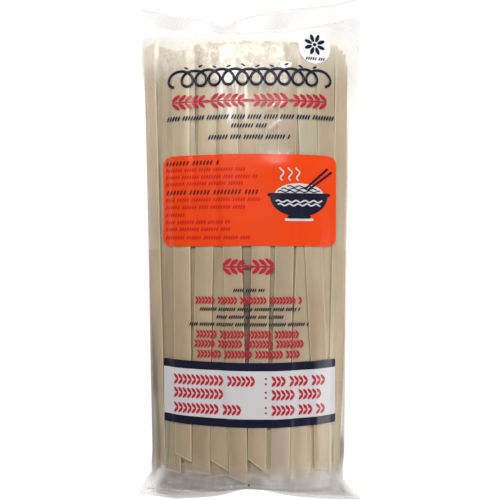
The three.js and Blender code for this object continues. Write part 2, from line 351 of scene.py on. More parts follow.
def layer_stick(x0, level, draws):
    is_lowest = level < 2.0
    corner = smoothstep(x0, 38.0, 50.0)
    left_corner = smoothstep(-x0, -LOW_TOPS_LEFT_OF - 4.0, -LOW_TOPS_LEFT_OF + 6.0)
    top = float(body_top(x0)) + 1.5 - 6.5 * left_corner - LAYERS.top_back * draws.random() ** 1.5
    bottom = float(body_bottom(x0)) + 0.8 + LAYERS.low_back * draws.random() ** 1.3
    y = np.linspace(bottom, top, STATIONS)
    u = float(across_stack(x0, 0.0))
    phase = draws.uniform(0.0, TURN)
    x = x0 + lerp(stack_left(y) - stack_left(0.0), stack_right(y) - stack_right(0.0), (u + 1.0) / 2.0)
    x = x + draws.uniform(-0.25, 0.25) * np.sin(y / 60.0 + phase)
    sway = 0.0 if is_lowest else draws.uniform(0.1, 0.45)
    settle = BODY.middle + (level - BODY.middle) * (body_rise(y) if level > BODY.middle else 1.0)
    z = settle + sway * np.sin(y / draws.uniform(28.0, 60.0) + phase)
    tilt = (0.0 if is_lowest else math.radians(draws.uniform(-4.5, 4.5))) * np.cos(y / 90.0 + phase)
    cut_low, cut_high = draws.uniform(-3.0, 3.0, 2) - (0.0, 5.0 * corner)
    tone, cool = draws.uniform(-0.45, 0.35), draws.uniform(0.0, 0.4)
    return Named(x=x, y=y, z=z, tilt=tilt, cut_low=cut_low, cut_high=cut_high, tone=tone, cool=cool)


@lru_cache(maxsize=1)
def all_sticks(width, thick, seed):
    draws = np.random.default_rng(seed)
    specs = enumerate(map(FaceStick._make, FRONT_STICKS))
    front = [face_stick(spec, thick, draws, TOP_CUTS.get(i)) for i, spec in specs]
    return (*front, *second_row(thick, draws), *stacked_layers(width, thick, draws))


# ---- the film over the sticks ----

CELL = 0.5
MAP_X = np.arange(-63.0, 63.01, CELL)
MAP_Y = np.arange(-134.0, 124.01, CELL)
# How far inside the solid's section the film may lie where no stick holds it out.
SLACK = Named(front=0.7, back=0.5)
# Reach, in millimetres, of each step by which film is pulled over the sticks.
DRAPE = Named(edge=1.1, gap=3.2, over=1.05, smooth=0.6)


def stick_map(sticks, width, thick, side):
    """Outermost level of the sticks at each cell, towards the front (side 1) or the back (side -1)."""
    levels = np.full((len(MAP_Y), len(MAP_X)), -np.inf)
    half = width / 2.0
    for s in sticks:
        reach = max(abs(s.cut_low), abs(s.cut_high)) / 2.0
        rows = np.nonzero((MAP_Y >= s.y[0] - reach) & (MAP_Y <= s.y[-1] + reach))[0]
        cols = np.nonzero((MAP_X >= s.x.min() - half) & (MAP_X <= s.x.max() + half))[0]
        y, x = MAP_Y[rows][:, None], MAP_X[cols][None, :]
        centre, level, tilt = (np.interp(y, s.y, values) for values in (s.x, s.z, s.tilt))
        across = (x - centre) / (np.cos(tilt) * half)
        inside = (np.abs(across) <= 1.0) & (y >= s.y[0] + s.cut_low * across / 2.0)
        inside &= y <= s.y[-1] + s.cut_high * across / 2.0
        face = side * (level - (x - centre) * np.tan(tilt)) + thick / (2.0 * np.cos(tilt))
        patch = levels[rows[0] : rows[-1] + 1, cols[0] : cols[-1] + 1]
        np.maximum(patch, np.where(inside, face, -np.inf), out=patch)
    return levels


def shifted(field, rows, cols):
    """The field moved by whole cells, with its border repeated."""
    height, wide = field.shape
    ys = np.clip(np.arange(height) - rows, 0, height - 1)
    return field[np.ix_(ys, np.clip(np.arange(wide) - cols, 0, wide - 1))]


def widened(field, radius):
    """Each cell takes the highest value within the radius."""
    reach = int(radius / CELL)
    result = field.copy()
    for r in range(-reach, reach + 1):
        for c in range(-reach, reach + 1):
            if 0 < r * r + c * c <= (radius / CELL) ** 2:
                np.maximum(result, shifted(field, r, c), out=result)
    return result


def blurred(field, radius):
    sigma = radius / CELL
    steps = np.arange(-int(3 * sigma), int(3 * sigma) + 1)
    weights = np.exp(-0.5 * (steps / sigma) ** 2)
    weights /= weights.sum()
    for down, aside in ((1, 0), (0, 1)):
        field = sum(w * shifted(field, down * k, aside * k) for k, w in zip(steps, weights))
    return field


def draped(levels, rest, clearance):
    """Film pulled over a map of levels: it spans the gaps and rounds the edges, and cuts into nothing."""
    hull = np.maximum(widened(levels, DRAPE.edge), rest)
    hull = -widened(-widened(hull, DRAPE.gap), DRAPE.gap)
    over = widened(levels, DRAPE.over) + 0.3 * clearance
    return blurred(np.maximum(blurred(hull, DRAPE.edge) + 0.7 * clearance, over), DRAPE.smooth)


def sampled(field, x, y):
    """Bilinear value of a map at points."""
    fx = np.clip((x - MAP_X[0]) / CELL, 0, len(MAP_X) - 1.001)
    fy = np.clip((y - MAP_Y[0]) / CELL, 0, len(MAP_Y) - 1.001)
    ix, iy = fx.astype(int), fy.astype(int)
    low = lerp(field[iy, ix], field[iy, ix + 1], fx - ix)
    return lerp(low, lerp(field[iy + 1, ix], field[iy + 1, ix + 1], fx - ix), fy - iy)


def value_noise(x, y, cell_x, cell_y, seed, cells=64, offset=500.0):
    """Smooth random field from 0 to 1."""
    lattice = np.random.default_rng(seed).random((cells, cells))
    fx, fy = x / cell_x + offset, y / cell_y + offset
    ix, iy = np.floor(fx).astype(int), np.floor(fy).astype(int)
    tx, ty = smoothstep(fx - ix, 0.0, 1.0), smoothstep(fy - iy, 0.0, 1.0)
    corners = ([lattice[(iy + j) % cells, (ix + i) % cells] for i in (0, 1)] for j in (0, 1))
    low, high = (lerp(left, right, tx) for left, right in corners)
    return lerp(low, high, ty)


def folded_noise(x, y, cell_x, cell_y, seed):
    """Sharp ridges between smooth hollows, from 0 to 1."""
    return 1.0 - np.abs(2.0 * value_noise(x, y, cell_x, cell_y, seed) - 1.0)


# Single folds of the film: two ends, height and half-width.
CREASES = [
    ((-58.5, -139.5), (-33.0, -136.4), 0.55, 0.8),
    ((51.5, -122.0), (54.0, -141.0), 0.5, 0.9),
    ((-53.5, -119.0), (-57.0, -134.0), 0.5, 1.0),
    ((-45.0, -126.0), (-38.0, -138.0), 0.45, 1.1),
    ((-22.0, -127.0), (-26.0, -139.0), 0.4, 1.3),
    ((20.0, -127.0), (27.0, -140.0), 0.4, 1.4),
    ((7.0, 74.0), (19.0, 77.0), 0.35, 1.0),
    ((10.0, 63.0), (15.5, 68.0), 0.4, 0.8),
    ((14.2, -56.0), (14.0, -101.0), 0.5, 3.4),
    ((14.5, -109.5), (40.0, -115.5), 0.35, 2.2),
    ((24.0, -117.0), (43.0, -112.0), 0.3, 1.6),
]
# Smooth swells of the film that tip it towards the top seal: middle, half-sizes and height.
SWELLS = [(16.0, 44.5, 11.0, 6.0, 0.95), (18.6, 97.0, 4.0, 4.0, 0.7)]

ROWS = Named(body=196, shoulder=26, flap=9)
COLUMNS = 156
# How much closer together the columns of the film lie near its sides: 0 is evenly spread.
BUNCHING = 0.65
# Where the film leaves the sticks: towards the side seams, and over the shoulder at each end.
SIDE_FADE = (0.955, 0.998)
SHOULDER_FADE = (0.25, 0.75)
# Room over the fin seal, and the least thickness of the film's skin as a share of the seal's.
OVER_FIN = 0.08
LEAST_SKIN = 0.9


def film_line(start, end, t, fill, level, shoulder=0.0, flap=0.0, wave=0.0):
    """A line across the pack, part of the way from one curve to another, with what shapes its section."""
    y = lambda x: lerp(start(x), end(x), t)
    return Named(y=y, fill=fill, level=level, shoulder=shoulder, flap=flap, wave=wave)


def end_lines(body_end, root, edge, side_level, droop, wave):
    """The lines over a shoulder of the pack and out to the edge of its sealed flap."""
    rise = float(body_rise(body_end(0.0)))
    for i in range(1, ROWS.shoulder + 1):
        t = 1.0 - (1.0 - i / ROWS.shoulder) ** SHOULDER.ease
        fall = max(0.0, 1.0 - t**SHOULDER.round) ** SHOULDER.steep
        level = lerp(BODY.middle, side_level, float(smoothstep(t, 0.0, 1.0)))
        yield film_line(body_end, root, t, rise * fall, level, t)
    for i in range(1, ROWS.flap + 1):
        t = i / ROWS.flap
        yield film_line(root, edge, t, 0.0, side_level - droop * t**SEAL.droop_bend, 1.0, t, wave * t)


def all_lines():
    """The lines across the pack, from its bottom edge to its top edge."""
    low = list(end_lines(body_bottom, bottom_root, bottom_edge, SEAL.bottom_level, SEAL.bottom_droop, 0.0))
    body = []
    for i in range(ROWS.body + 1):
        t = i / ROWS.body
        fill = float(body_rise(lerp(body_bottom(0.0), body_top(0.0), t)))
        body.append(film_line(body_bottom, body_top, t, fill, BODY.middle))
    return [*low[::-1], *body, *end_lines(body_top, top_root, top_edge, SEAL.top_level, 0.0, SEAL.top_wave)]


def crease_height(x, y):
    total = np.zeros_like(x)
    for a, b, height, width in CREASES:
        run = np.array(b) - a
        length = np.hypot(*run)
        along = ((x - a[0]) * run[0] + (y - a[1]) * run[1]) / length
        aside = ((x - a[0]) * run[1] - (y - a[1]) * run[0]) / length
        total += height * window(along / length, 0.08, 0.92, 0.12) * bell(aside, 0.0, width)
    return total


def swell_height(x, y):
    far = lambda at, level, rx, ry: ((x - at) / rx) ** 2 + ((y - level) / ry) ** 2
    return sum(height * np.exp(-far(*ellipse)) for *ellipse, height in SWELLS)


def front_crinkles(x, y):
    """Loose film: a crumpled patch under the top seal, and streaks that run down from it."""
    patch = window(x, -27.0, 29.0, 7.0) * window(y, 86.0, 113.0, 5.0)
    streaks = window(x, -15.0, -3.0, 4.0) * window(y, 66.0, 90.0, 6.0)
    mask = np.clip(patch + 0.8 * streaks, 0.0, 1.0)
    upper = window(y, 84.0, 116.0, 5.0)
    coarse = folded_noise(x + 0.35 * y, y, 8.5, 9.5, 11)
    return mask * coarse * (0.2 + 0.6 * upper) + 0.3 * mask * folded_noise(x, y, 6.0, 25.0, 13)


def gathers(x, y, nearness):
    """Pleats that run out of a sealed end into the body."""
    return 0.7 * nearness * folded_noise(x + 2.0 * value_noise(x, y, 20.0, 12.0, 21), y, 7.0, 60.0, 22)


def film_grid(sizes):
    """Corner points of the front and back film, the place of each column across the pack, and how far each
    row lies over a shoulder and out on a flap.
    """
    width, thick = sizes.stick_width / MM, sizes.stick_thickness / MM
    clearance = sizes.film_clearance / MM
    half = sizes.seal_thickness / MM / 2.0
    sticks = all_sticks(width, thick, sizes.seed)
    mesh_x, mesh_y = np.meshgrid(MAP_X, MAP_Y)
    front_rest = body_front(mesh_x, mesh_y) - SLACK.front
    back_rest = -body_back(mesh_x, mesh_y) - SLACK.back
    front_map = draped(stick_map(sticks, width, thick, 1.0), front_rest, clearance)
    back_map = draped(stick_map(sticks, width, thick, -1.0), back_rest, clearance)

    a = np.linspace(-1.0, 1.0, COLUMNS + 1)
    u = (1.0 - BUNCHING) * a + BUNCHING * np.sin(a * math.pi / 2.0)
    inner = 1.0 - smoothstep(np.abs(u), *SIDE_FADE)
    sides = 1.0 - np.abs(u) ** 6
    lines = all_lines()
    front, back = [], []
    for i, line in enumerate(lines):
        left, right = left_edge(line.y(-LEFT_EDGE.reach)), right_edge(line.y(RIGHT_EDGE.reach))
        x = lerp(left, right, (u + 1.0) / 2.0)
        y = line.y(x)
        level = line.level + line.wave * np.sin(x / SEAL.wave_length * 2.0 * math.pi)
        z_front = front_level(u, line.fill, level, half)
        z_back = back_level(u, line.fill, level, half)
        held = inner * (1.0 - smoothstep(line.shoulder, *SHOULDER_FADE))
        z_front = np.maximum(z_front, lerp(z_front, sampled(front_map, x, y), held))
        z_back = np.minimum(z_back, lerp(z_back, -sampled(back_map, x, y), held))
        nearness = math.sin(math.pi * min(1.0, line.shoulder * 0.8 + 0.2)) if line.shoulder > 0 else 0.0
        relief = gathers(x, y, nearness) * sides * (0.8 if i > len(lines) / 2 else 0.5)
        relief += (front_crinkles(x, y) + swell_height(x, y)) * sides * (1.0 - 0.6 * line.shoulder)
        creases = crease_height(x, y)
        relief += creases
        loose = 0.25 * (value_noise(x, y, 9.0, 14.0, 31) - 0.5) * smoothstep(line.shoulder, 0.0, 0.3) * sides
        ripple = 0.5 * (value_noise(x, y, 16.0, 9.0, 32) - 0.5) * line.flap
        z_front = z_front + relief + loose + ripple
        z_back = z_back + 0.4 * gathers(x + 31.0, y, nearness) * sides + loose + ripple + creases
        z_back = np.minimum(np.maximum(z_back, FIN.high + OVER_FIN), z_front - 2.0 * half * LEAST_SKIN)
        front.append(np.stack([x, y, z_front], axis=-1))
        back.append(np.stack([x, y, z_back], axis=-1))
    shoulder, flap = np.array([(line.shoulder, line.flap) for line in lines]).T[..., None]
    return np.array(front), np.array(back), u, shoulder, flap


# Painted highlights: thin white lines where a crease of the film would throw light back: points along each of
# them, and its strength.
PAINTED_GLINT_WIDTH = 0.55
PAINTED_GLINTS = [
    ([(-58.1, -134.3, 16.5), (-45.5, -132.1, 23.6), (-40.2, -132.2, 26.3), (-32.8, -131.5, 29.4)], 1.7),
    ([(-32.8, -131.5, 29.4), (-24.3, -129.3, 34.2), (-13.4, -127.5, 36.5), (-2.1, -125.7, 38.2)], 0.8),
    ([(-56.9, -133.1, 17.6), (-50.0, -130.0, 22.8), (-41.6, -125.2, 28.4)], 0.8),
    ([(-44.3, -127.4, 27.5), (-43.5, -126.8, 27.9)], 2.0),
    ([(-61.7, -137.7, 13.3), (-58.3, -131.3, 15.5), (-57.2, -124.0, 16.5)], 1.0),
    ([(9.0, 76.6, 40.5), (20.0, 79.2, 39.5)], 2.0),
    ([(9.5, 64.5, 41.0), (15.5, 69.0, 40.5), (18.0, 68.5, 40.0)], 2.0),
]
# Painted highlights: white patches where flat bits of film would throw light back: middle, half-sizes, lean,
# how sharp their rim is, and strength.
PAINTED_FLASHES = [(15.0, 50.6, 6.4, 2.6, 0.0, 2, 1.5), (19.0, 98.0, 3.0, 2.2, 0.5, 6, 1.7)]


def distance_to_line(points, ends):
    """How far each point lies from the nearest of the straight parts between the ends."""
    nearest = np.full(points.shape[:-1], np.inf)
    for start, end in zip(np.array(ends[:-1]), np.array(ends[1:])):
        run = end - start
        t = np.clip(((points - start) @ run) / (run @ run), 0.0, 1.0)
        nearest = np.minimum(nearest, np.linalg.norm(points - start - t[..., None] * run, axis=-1))
    return nearest


def painted_glare_zones(front):
    """Painted highlights where crumpled film would throw light back: in patches under the top seal, and in
    streaks below them.
    """
    x, y = front[..., 0], front[..., 1]
    ragged = y + 6.0 * (value_noise(x, y, 9.0, 11.0, 42) - 0.5)
    patches = window(x, -27.0, 23.0, 5.0) * window(ragged, 88.0, 122.0, 4.0)
    patches += 0.7 * window(x, -48.0, -24.0, 6.0) * window(ragged, 97.0, 118.0, 4.0)
    patches += 0.5 * window(x, -62.0, -50.0, 3.0) * window(y, -136.0, -122.0, 4.0)
    for at, level, rx, ry, lean, sharp, strength in PAINTED_FLASHES:
        up = y - level
        patches += strength * np.exp(-((np.abs(x - at - lean * up) / rx) ** sharp + np.abs(up / ry) ** sharp))
    for ends, strength in PAINTED_GLINTS:
        patches += strength * bell(distance_to_line(front, ends), 0.0, PAINTED_GLINT_WIDTH)
    runs = window(x, -16.0, -2.0, 3.0) * window(ragged, 66.0, 96.0, 6.0)
    runs += 0.35 * window(x, -30.0, 24.0, 8.0) * window(ragged, 76.0, 96.0, 6.0)
    return np.clip(patches, 0.0, 2.0), np.clip(runs, 0.0, 1.0)


def film_zones(front, u, shoulder, flap):
    """At each corner point: how milky the front and the back are, how grey that milk is, and how warm. The
    grey milk at the low end and along the lower sides is painted shade.
    """
    x, y = front[..., 0], front[..., 1]
    is_top = y > 0
    is_end, is_flap = smoothstep(shoulder, 0.1, 0.8), smoothstep(flap, 0.0, 0.25)
    patchy = value_noise(x, y, 11.0, 8.0, 41) - 0.5
    far_right, far_left = smoothstep(x, 30.0, 50.0), smoothstep(-x, 46.0, 54.0)
    rightward, past_middle = smoothstep(x, 2.0, 28.0), smoothstep(x, -20.0, 20.0)

    haze = (1.0 + 0.35 * far_left) * (0.4 + 0.2 * patchy) * smoothstep(y, 84.0, 108.0)
    haze += 0.1 * smoothstep(y, 42.0, 60.0)
    top = haze * (1.0 - is_end) + is_end * lerp(0.1, 0.2, far_right)
    top = lerp(top, 0.3 + 0.08 * far_right, is_flap)
    top_grey = lerp(0.12, 0.45, np.maximum(is_flap, is_end * far_right))

    ear = smoothstep(np.abs(u), np.where(x < 0.0, 0.8, 0.9), np.where(x < 0.0, 0.93, 0.98)) * is_end
    ear_milk = lerp(0.1, 0.3, past_middle)
    # Painted shade at the low end: grey milk on the front film, and denser grey milk on the back film behind
    # the sticks' ends.
    near_low = smoothstep(-y, 112.0, 124.0)
    low_front = near_low * lerp(lerp(0.45, 0.5, rightward), ear_milk, ear) + 0.25 * patchy * near_low
    # Painted sheen: more milk here, and less grey in it below, make the low end lighter just right of the
    # middle.
    low_front += 0.14 * near_low * window(x, 5.0, 20.0, 6.0)
    low_front = lerp(low_front, lerp(0.42, ear_milk, ear), 0.8 * is_flap)
    low_front += 0.04 * smoothstep(-y, 70.0, 95.0) * (1.0 - near_low)
    low_back = smoothstep(-y, 100.0, 116.0) * lerp(lerp(0.9, 0.72, rightward), 0.1, ear)
    low_back = lerp(low_back, 0.1 + 0.4 * window(x, -50.0, -12.0, 5.0), is_flap)
    low_grey = 0.65 - 0.4 * window(x, 7.0, 17.0, 4.0) - 0.1 * is_flap
    # Away from the low end the grey is set for the painted shade on the lower sides: over 1 on the left,
    # where it darkens the milk further.
    low_grey = lerp(lerp(1.7, 0.8, past_middle), low_grey, np.maximum(near_low, is_end))

    # Painted shade along the lower sides, strongest on the left.
    side = smoothstep(np.abs(u), 0.9, 0.985) * (1.0 - is_end)
    low_side = side * smoothstep(-y, 20.0, 90.0)
    side_milk_and_shade = 0.05 * side + lerp(1.0, 0.35, past_middle) * low_side * (1.0 - ear)
    milky = np.where(is_top, top, low_front) + side_milk_and_shade
    milky_back = np.where(is_top, 0.5 * top, low_back) + side_milk_and_shade
    grey = np.where(is_top, top_grey, low_grey)
    warm = smoothstep(y, 30.0, 42.0) * (1.0 - smoothstep(y, 113.0, 119.0))
    warm = (warm + 0.8 * window(y, -119.0, -80.0, 5.0) * (1.0 - side)) * (1.0 - is_end)
    return [np.clip(field, 0.0, 2.0) for field in (milky, milky_back, grey, warm)]


def bag_mesh(front, back):
    """One closed skin of a front and a back grid that meet along the seams."""
    rows, cols = front.shape[:2]
    points = np.concatenate([front.reshape(-1, 3), back.reshape(-1, 3)])
    index = np.arange(rows * cols).reshape(rows, cols)
    other = index + rows * cols
    quads = [
        (index[:-1, :-1], index[:-1, 1:], index[1:, 1:], index[1:, :-1]),
        (other[:-1, :-1], other[1:, :-1], other[1:, 1:], other[:-1, 1:]),
        (index[0, :-1], other[0, :-1], other[0, 1:], index[0, 1:]),
        (index[-1, 1:], other[-1, 1:], other[-1, :-1], index[-1, :-1]),
        (index[1:, 0], other[1:, 0], other[:-1, 0], index[:-1, 0]),
        (index[:-1, -1], other[:-1, -1], other[1:, -1], index[1:, -1]),
    ]
    return points, np.concatenate([np.stack(corners, -1).reshape(-1, 4) for corners in quads])


# ---- making pieces ----


def new_object(name, points, faces=(), edges=(), smooth=False):
    """An object at the origin, with its points given in millimetres."""
    mesh = bpy.data.meshes.new(name)
    mesh.from_pydata(to_metres(points).tolist(), *(np.asarray(part, int).tolist() for part in (edges, faces)))
    if smooth:
        mesh.polygons.foreach_set("use_smooth", [True] * len(mesh.polygons))
    mesh.update()
    piece = bpy.data.objects.new(name, mesh)
    bpy.context.scene.collection.objects.link(piece)
    return piece


def set_attributes(piece, **columns):
    """Stores a number for each point of the piece under each name."""
    for name, values in columns.items():
        layer = piece.data.attributes.new(name, "FLOAT", "POINT")
        layer.data.foreach_set("value", np.asarray(values, np.float32).ravel())


def finish_piece(piece, slot, material=None):
    if not len(piece.data.polygons):
        raise RuntimeError(f"{piece.name} came out empty")
    if material is not None:
        piece.data.materials.append(material)
    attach(piece, BODY_NAME)
    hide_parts(CAD_NODE)


def made_plain(piece, tree, inputs):
    """Runs a node tree on the piece, and keeps its result as a plain mesh."""
    modifier = piece.modifiers.new("shape", "NODES")
    modifier.node_group = tree
    sockets = {item.name: item.identifier for item in tree.interface.items_tree if item.in_out == "INPUT"}
    for name, value in inputs.items():
        modifier[sockets[name]] = value
    graph = bpy.context.evaluated_depsgraph_get()
    graph.update()
    shaped = piece.evaluated_get(graph)
    mesh = bpy.data.meshes.new_from_object(shaped, preserve_all_data_layers=True, depsgraph=graph)
    piece.modifiers.remove(modifier)
    piece.data = mesh
    mesh.name = piece.name
    return piece


# ---- expressions on sockets, for shaders and for geometry ----


def socket_maths(operation, is_reflected=False):
    """A method of a wire that makes a maths node of it and what it is combined with."""

    def method(wire, other):
        return wire.sheet.math(operation, *((other, wire) if is_reflected else (wire, other)))

    return method


class Wire:
    """An output socket that takes part in sums, products and powers."""

    __add__ = __radd__ = socket_maths("ADD")
    __sub__ = socket_maths("SUBTRACT")
    __rsub__ = socket_maths("SUBTRACT", is_reflected=True)
    __mul__ = __rmul__ = socket_maths("MULTIPLY")
    __truediv__ = socket_maths("DIVIDE")
    __pow__ = socket_maths("POWER")

    def __init__(self, sheet, socket):
        self.sheet = sheet
        self.socket = socket

    def __neg__(self):
        return self * -1.0

    def clamped(self):
        return self.sheet.math("MAXIMUM", self.sheet.math("MINIMUM", self, 1.0), 0.0)


class Sheet:
    """A node tree that is filled by expressions."""

    def __init__(self, tree):
        self.tree = tree

    def node(self, kind, inputs=None, output=0, **settings):
        """Adds a node, and gives the wire from one of its outputs."""
        made = self.tree.nodes.new(kind)
        for key, value in settings.items():
            setattr(made, key, value)
        for key, value in (inputs or {}).items():
            self.feed(self.find(made.inputs, key), value)
        return Wire(self, self.find(made.outputs, output)) if len(made.outputs) else None

    @staticmethod
    def find(sockets, key):
        """A socket by its identifier, or else by its name or number."""
        same = [socket for socket in sockets if socket.identifier == key]
        return same[0] if same else sockets[key]

    def feed(self, socket, value):
        if not isinstance(value, (Wire, list)):
            socket.default_value = value
            return
        for wire in value if isinstance(value, list) else [value]:
            self.tree.links.new(wire.socket, socket)

    def math(self, operation, *values):
        return self.node("ShaderNodeMath", dict(enumerate(values)), operation=operation)

    def split(self, vector):
        return [self.node("ShaderNodeSeparateXYZ", {0: vector}, axis) for axis in range(3)]

    def vector(self, x, y, z):
        return self.node("ShaderNodeCombineXYZ", {0: x, 1: y, 2: z})


class MaterialSheet(Sheet):
    """The tree of a new material."""

    def __init__(self, name):
        self.material = bpy.data.materials.new(name)
        self.material.use_nodes = True
        super().__init__(self.material.node_tree)
        self.tree.nodes.clear()

    def attribute(self, name):
        return self.node("ShaderNodeAttribute", output="Fac", attribute_name=name)

    def step(self, value, low, high):
        """Smooth change from 0 at low to 1 at high."""
        inputs = {"Value": value, "From Min": low, "From Max": high}
        return self.node("ShaderNodeMapRange", inputs, interpolation_type="SMOOTHSTEP")

    def blend(self, factor, a, b):
        """A mix of two colours."""
        a, b = (colour if isinstance(colour, Wire) else (*colour, 1.0) for colour in (a, b))
        inputs = {"Factor_Float": factor, "A_Color": a, "B_Color": b}
        return self.node("ShaderNodeMix", inputs, "Result_Color", data_type="RGBA")

    def tint(self, colour, factor):
        """A colour multiplied by a number."""
        colour = colour if isinstance(colour, Wire) else tuple(colour)
        return self.node("ShaderNodeVectorMath", {0: colour, "Scale": factor}, operation="SCALE")

    def place(self, along=1.0):
        """Object coordinates in millimetres, with those along the pack stretched."""
        position = self.node("ShaderNodeTexCoord", output="Object")
        return self.node("ShaderNodeMapping", {"Vector": position, "Scale": (1.0 / MM, along / MM, 1.0 / MM)})

    def noise(self, vector, scale, detail=2.0, roughness=0.5, distortion=0.0, output="Fac"):
        inputs = {"Vector": vector, "Scale": scale, "Detail": detail, "Roughness": roughness}
        return self.node("ShaderNodeTexNoise", {**inputs, "Distortion": distortion}, output)

    def warped(self, vector, scale, reach):
        """The vector pushed about by a noise."""
        terms = {0: self.noise(vector, scale, output="Color"), 1: (reach,) * 3, 2: vector}
        return self.node("ShaderNodeVectorMath", terms, operation="MULTIPLY_ADD")

    def facets(self, vector, scale):
        """A random number for each cell of a pattern of facets."""
        return self.split(self.node("ShaderNodeTexVoronoi", {"Vector": vector, "Scale": scale}, "Color"))[0]

    def bump(self, height, strength, distance):
        return self.node("ShaderNodeBump", {"Height": height, "Strength": strength, "Distance": distance})

    def finish(self, surface, cover=None):
        """The material of a surface, which is clear where its cover is 0."""
        shader = self.node("ShaderNodeBsdfPrincipled", surface)
        if cover is not None:
            clear = self.node("ShaderNodeBsdfTransparent", {"Color": (1.0, 1.0, 1.0, 1.0)})
            shader = self.node("ShaderNodeMixShader", {0: cover, 1: clear, 2: shader})
        self.node("ShaderNodeOutputMaterial", {"Surface": shader})
        return self.material


def rice_material(colours):
    """Dried rice noodle: pale and slightly see-through, streaked along its length, with a painted highlight
    along its long edges and cut ends.
    """
    sheet = MaterialSheet("dried_rice_stick")
    streaks = sheet.noise(sheet.place(0.03), 0.7, 2.0, 0.5)
    clouds = sheet.noise(sheet.place(0.35), 0.07, 3.0, 0.55)
    grain = sheet.noise(sheet.place(0.6), 3.2, 2.0, 0.6)
    across = sheet.math("ABSOLUTE", sheet.attribute("across"))
    along = sheet.math("ABSOLUTE", 2.0 * sheet.attribute("along") - 1.0)
    # Painted highlight: the long edges and the cut ends of each stick are made lighter, as if they caught the
    # light.
    rim = sheet.math("MAXIMUM", sheet.step(across, 0.86, 1.0), 1.5 * sheet.step(along, 0.991, 0.996))
    light = 0.5 + 0.6 * sheet.attribute("tone") + 0.9 * (clouds - 0.5)
    light = (light + 0.12 * (streaks - 0.5) + 0.1 * (grain - 0.5)).clamped()
    body = sheet.blend(light, colours.rice_dark, colours.rice_light)
    body = sheet.blend(sheet.attribute("cool") * 0.8, body, colours.rice_cool)
    body = sheet.blend(rim * 0.55, body, colours.rice_edge)
    surface = {
        "Base Color": body,
        "Roughness": 0.42 + 0.2 * (grain - 0.5),
        "Subsurface Weight": 0.6,
        "Subsurface Radius": (1.0, 0.66, 0.4),
        "Subsurface Scale": 0.003,
        "Specular IOR Level": 0.4,
        "Normal": sheet.bump(0.4 * streaks + 0.25 * grain, 0.18, 0.0002),
    }
    return sheet.finish(surface)


def film_material(colours):
    """Thin clear film: see-through, mirror-like at its gloss, milky where it is sealed or creased, with
    painted white highlights and painted grey shade in its milk.
    """
    sheet = MaterialSheet("clear_film")
    milky, grey, warm, glare, runs = map(sheet.attribute, ("milky", "grey", "warm", "glare", "runs"))
    wrinkle = sheet.noise(sheet.place(0.45), 0.16, 3.0, 0.55, 0.6)
    streaks = sheet.noise(sheet.place(0.05), 0.3, 3.0, 0.6)
    bent = sheet.warped(sheet.place(0.8), 0.25, 5.0)
    facets = 0.55 * sheet.facets(bent, 0.18) + 0.45 * sheet.facets(bent, 0.5)
    marble = sheet.noise(bent, 0.2, 3.0, 0.6, 1.2)
    pieces = 0.6 * sheet.step(marble, 0.49, 0.58) + 0.4 * sheet.step(facets, 0.5, 0.62)
    # Painted highlights: patches and streaks where the film turns opaque and white, as if crumpled film
    # caught the light.
    painted_glare_patches = glare * (0.04 + 0.34 * pieces) + 0.5 * sheet.step(glare, 1.0, 1.8)
    runs = runs * sheet.step(sheet.noise(sheet.place(0.1), 0.28, 3.0, 0.5), 0.48, 0.66)
    white = painted_glare_patches + 0.8 * runs
    facing = sheet.node("ShaderNodeLayerWeight", {"Blend": 0.5}, "Facing")
    gloss = 0.06 + 0.4 * facing**4.0
    cover = (gloss + milky * (0.55 + 0.5 * streaks + 0.4 * wrinkle) + white).clamped()
    mirror = (gloss / (cover + 0.001)).clamped()
    # The milk's colour carries painted light: grey is painted shade, a grey over 1 darkens it further, and
    # the painted highlights turn it white.
    tone = sheet.blend((grey - white).clamped(), colours.film_white, colours.film_grey)
    tone = sheet.tint(tone, 1.0 - 0.6 * sheet.math("MAXIMUM", grey - 1.0, 0.0))
    tone = sheet.blend((warm * (1.0 - 0.5 * white)).clamped(), tone, colours.film_warm)
    skin = {
        "Base Color": tone,
        "Metallic": mirror * 0.9,
        "Roughness": 0.27 + 0.12 * (1.0 - mirror),
        "Normal": sheet.bump(wrinkle, 0.1, 0.0005),
    }
    return sheet.finish(skin, cover)


# The inks by the names of their colours: material slot, how much they cover, and how uneven they are.
Ink = namedtuple("Ink", "slot cover shade")
INKS = {
    "ink_orange": Ink("print_orange", 0.97, 0.06),
    "ink_white": Ink("print_white", 0.93, 0.05),
    "ink_navy": Ink("print_navy", 0.97, 0.1),
    "ink_red": Ink("print_red", 0.95, 0.12),
    "ink_deep_red": Ink("print_red", 0.9, 0.12),
    "ink_maroon": Ink("print_navy", 0.95, 0.1),
    "ink_bright_white": Ink("print_white", 0.95, 0.04),
}


def ink_material(name, colours):
    """Ink on film: nearly opaque, a little uneven, under a glossy coat."""
    shade = INKS[name].shade
    sheet = MaterialSheet(name)
    clouds = sheet.noise(sheet.place(), 0.05, 3.0, 0.6)
    specks = sheet.noise(sheet.place(), 2.4, 2.0, 0.6)
    level = 1.0 + shade * 2.0 * (clouds - 0.5) + 0.5 * shade * (specks - 0.5)
    surface = {
        "Base Color": sheet.tint(getattr(colours, name), level),
        "Roughness": 0.38 + 0.12 * (specks - 0.5),
        "Specular IOR Level": 0.15,
        "Coat Weight": 0.4,
        "Coat Roughness": 0.2,
        "Normal": sheet.bump(clouds, 0.2, 0.0003),
    }
    return sheet.finish(surface, (INKS[name].cover + 0.06 * (specks - 0.5)).clamped())


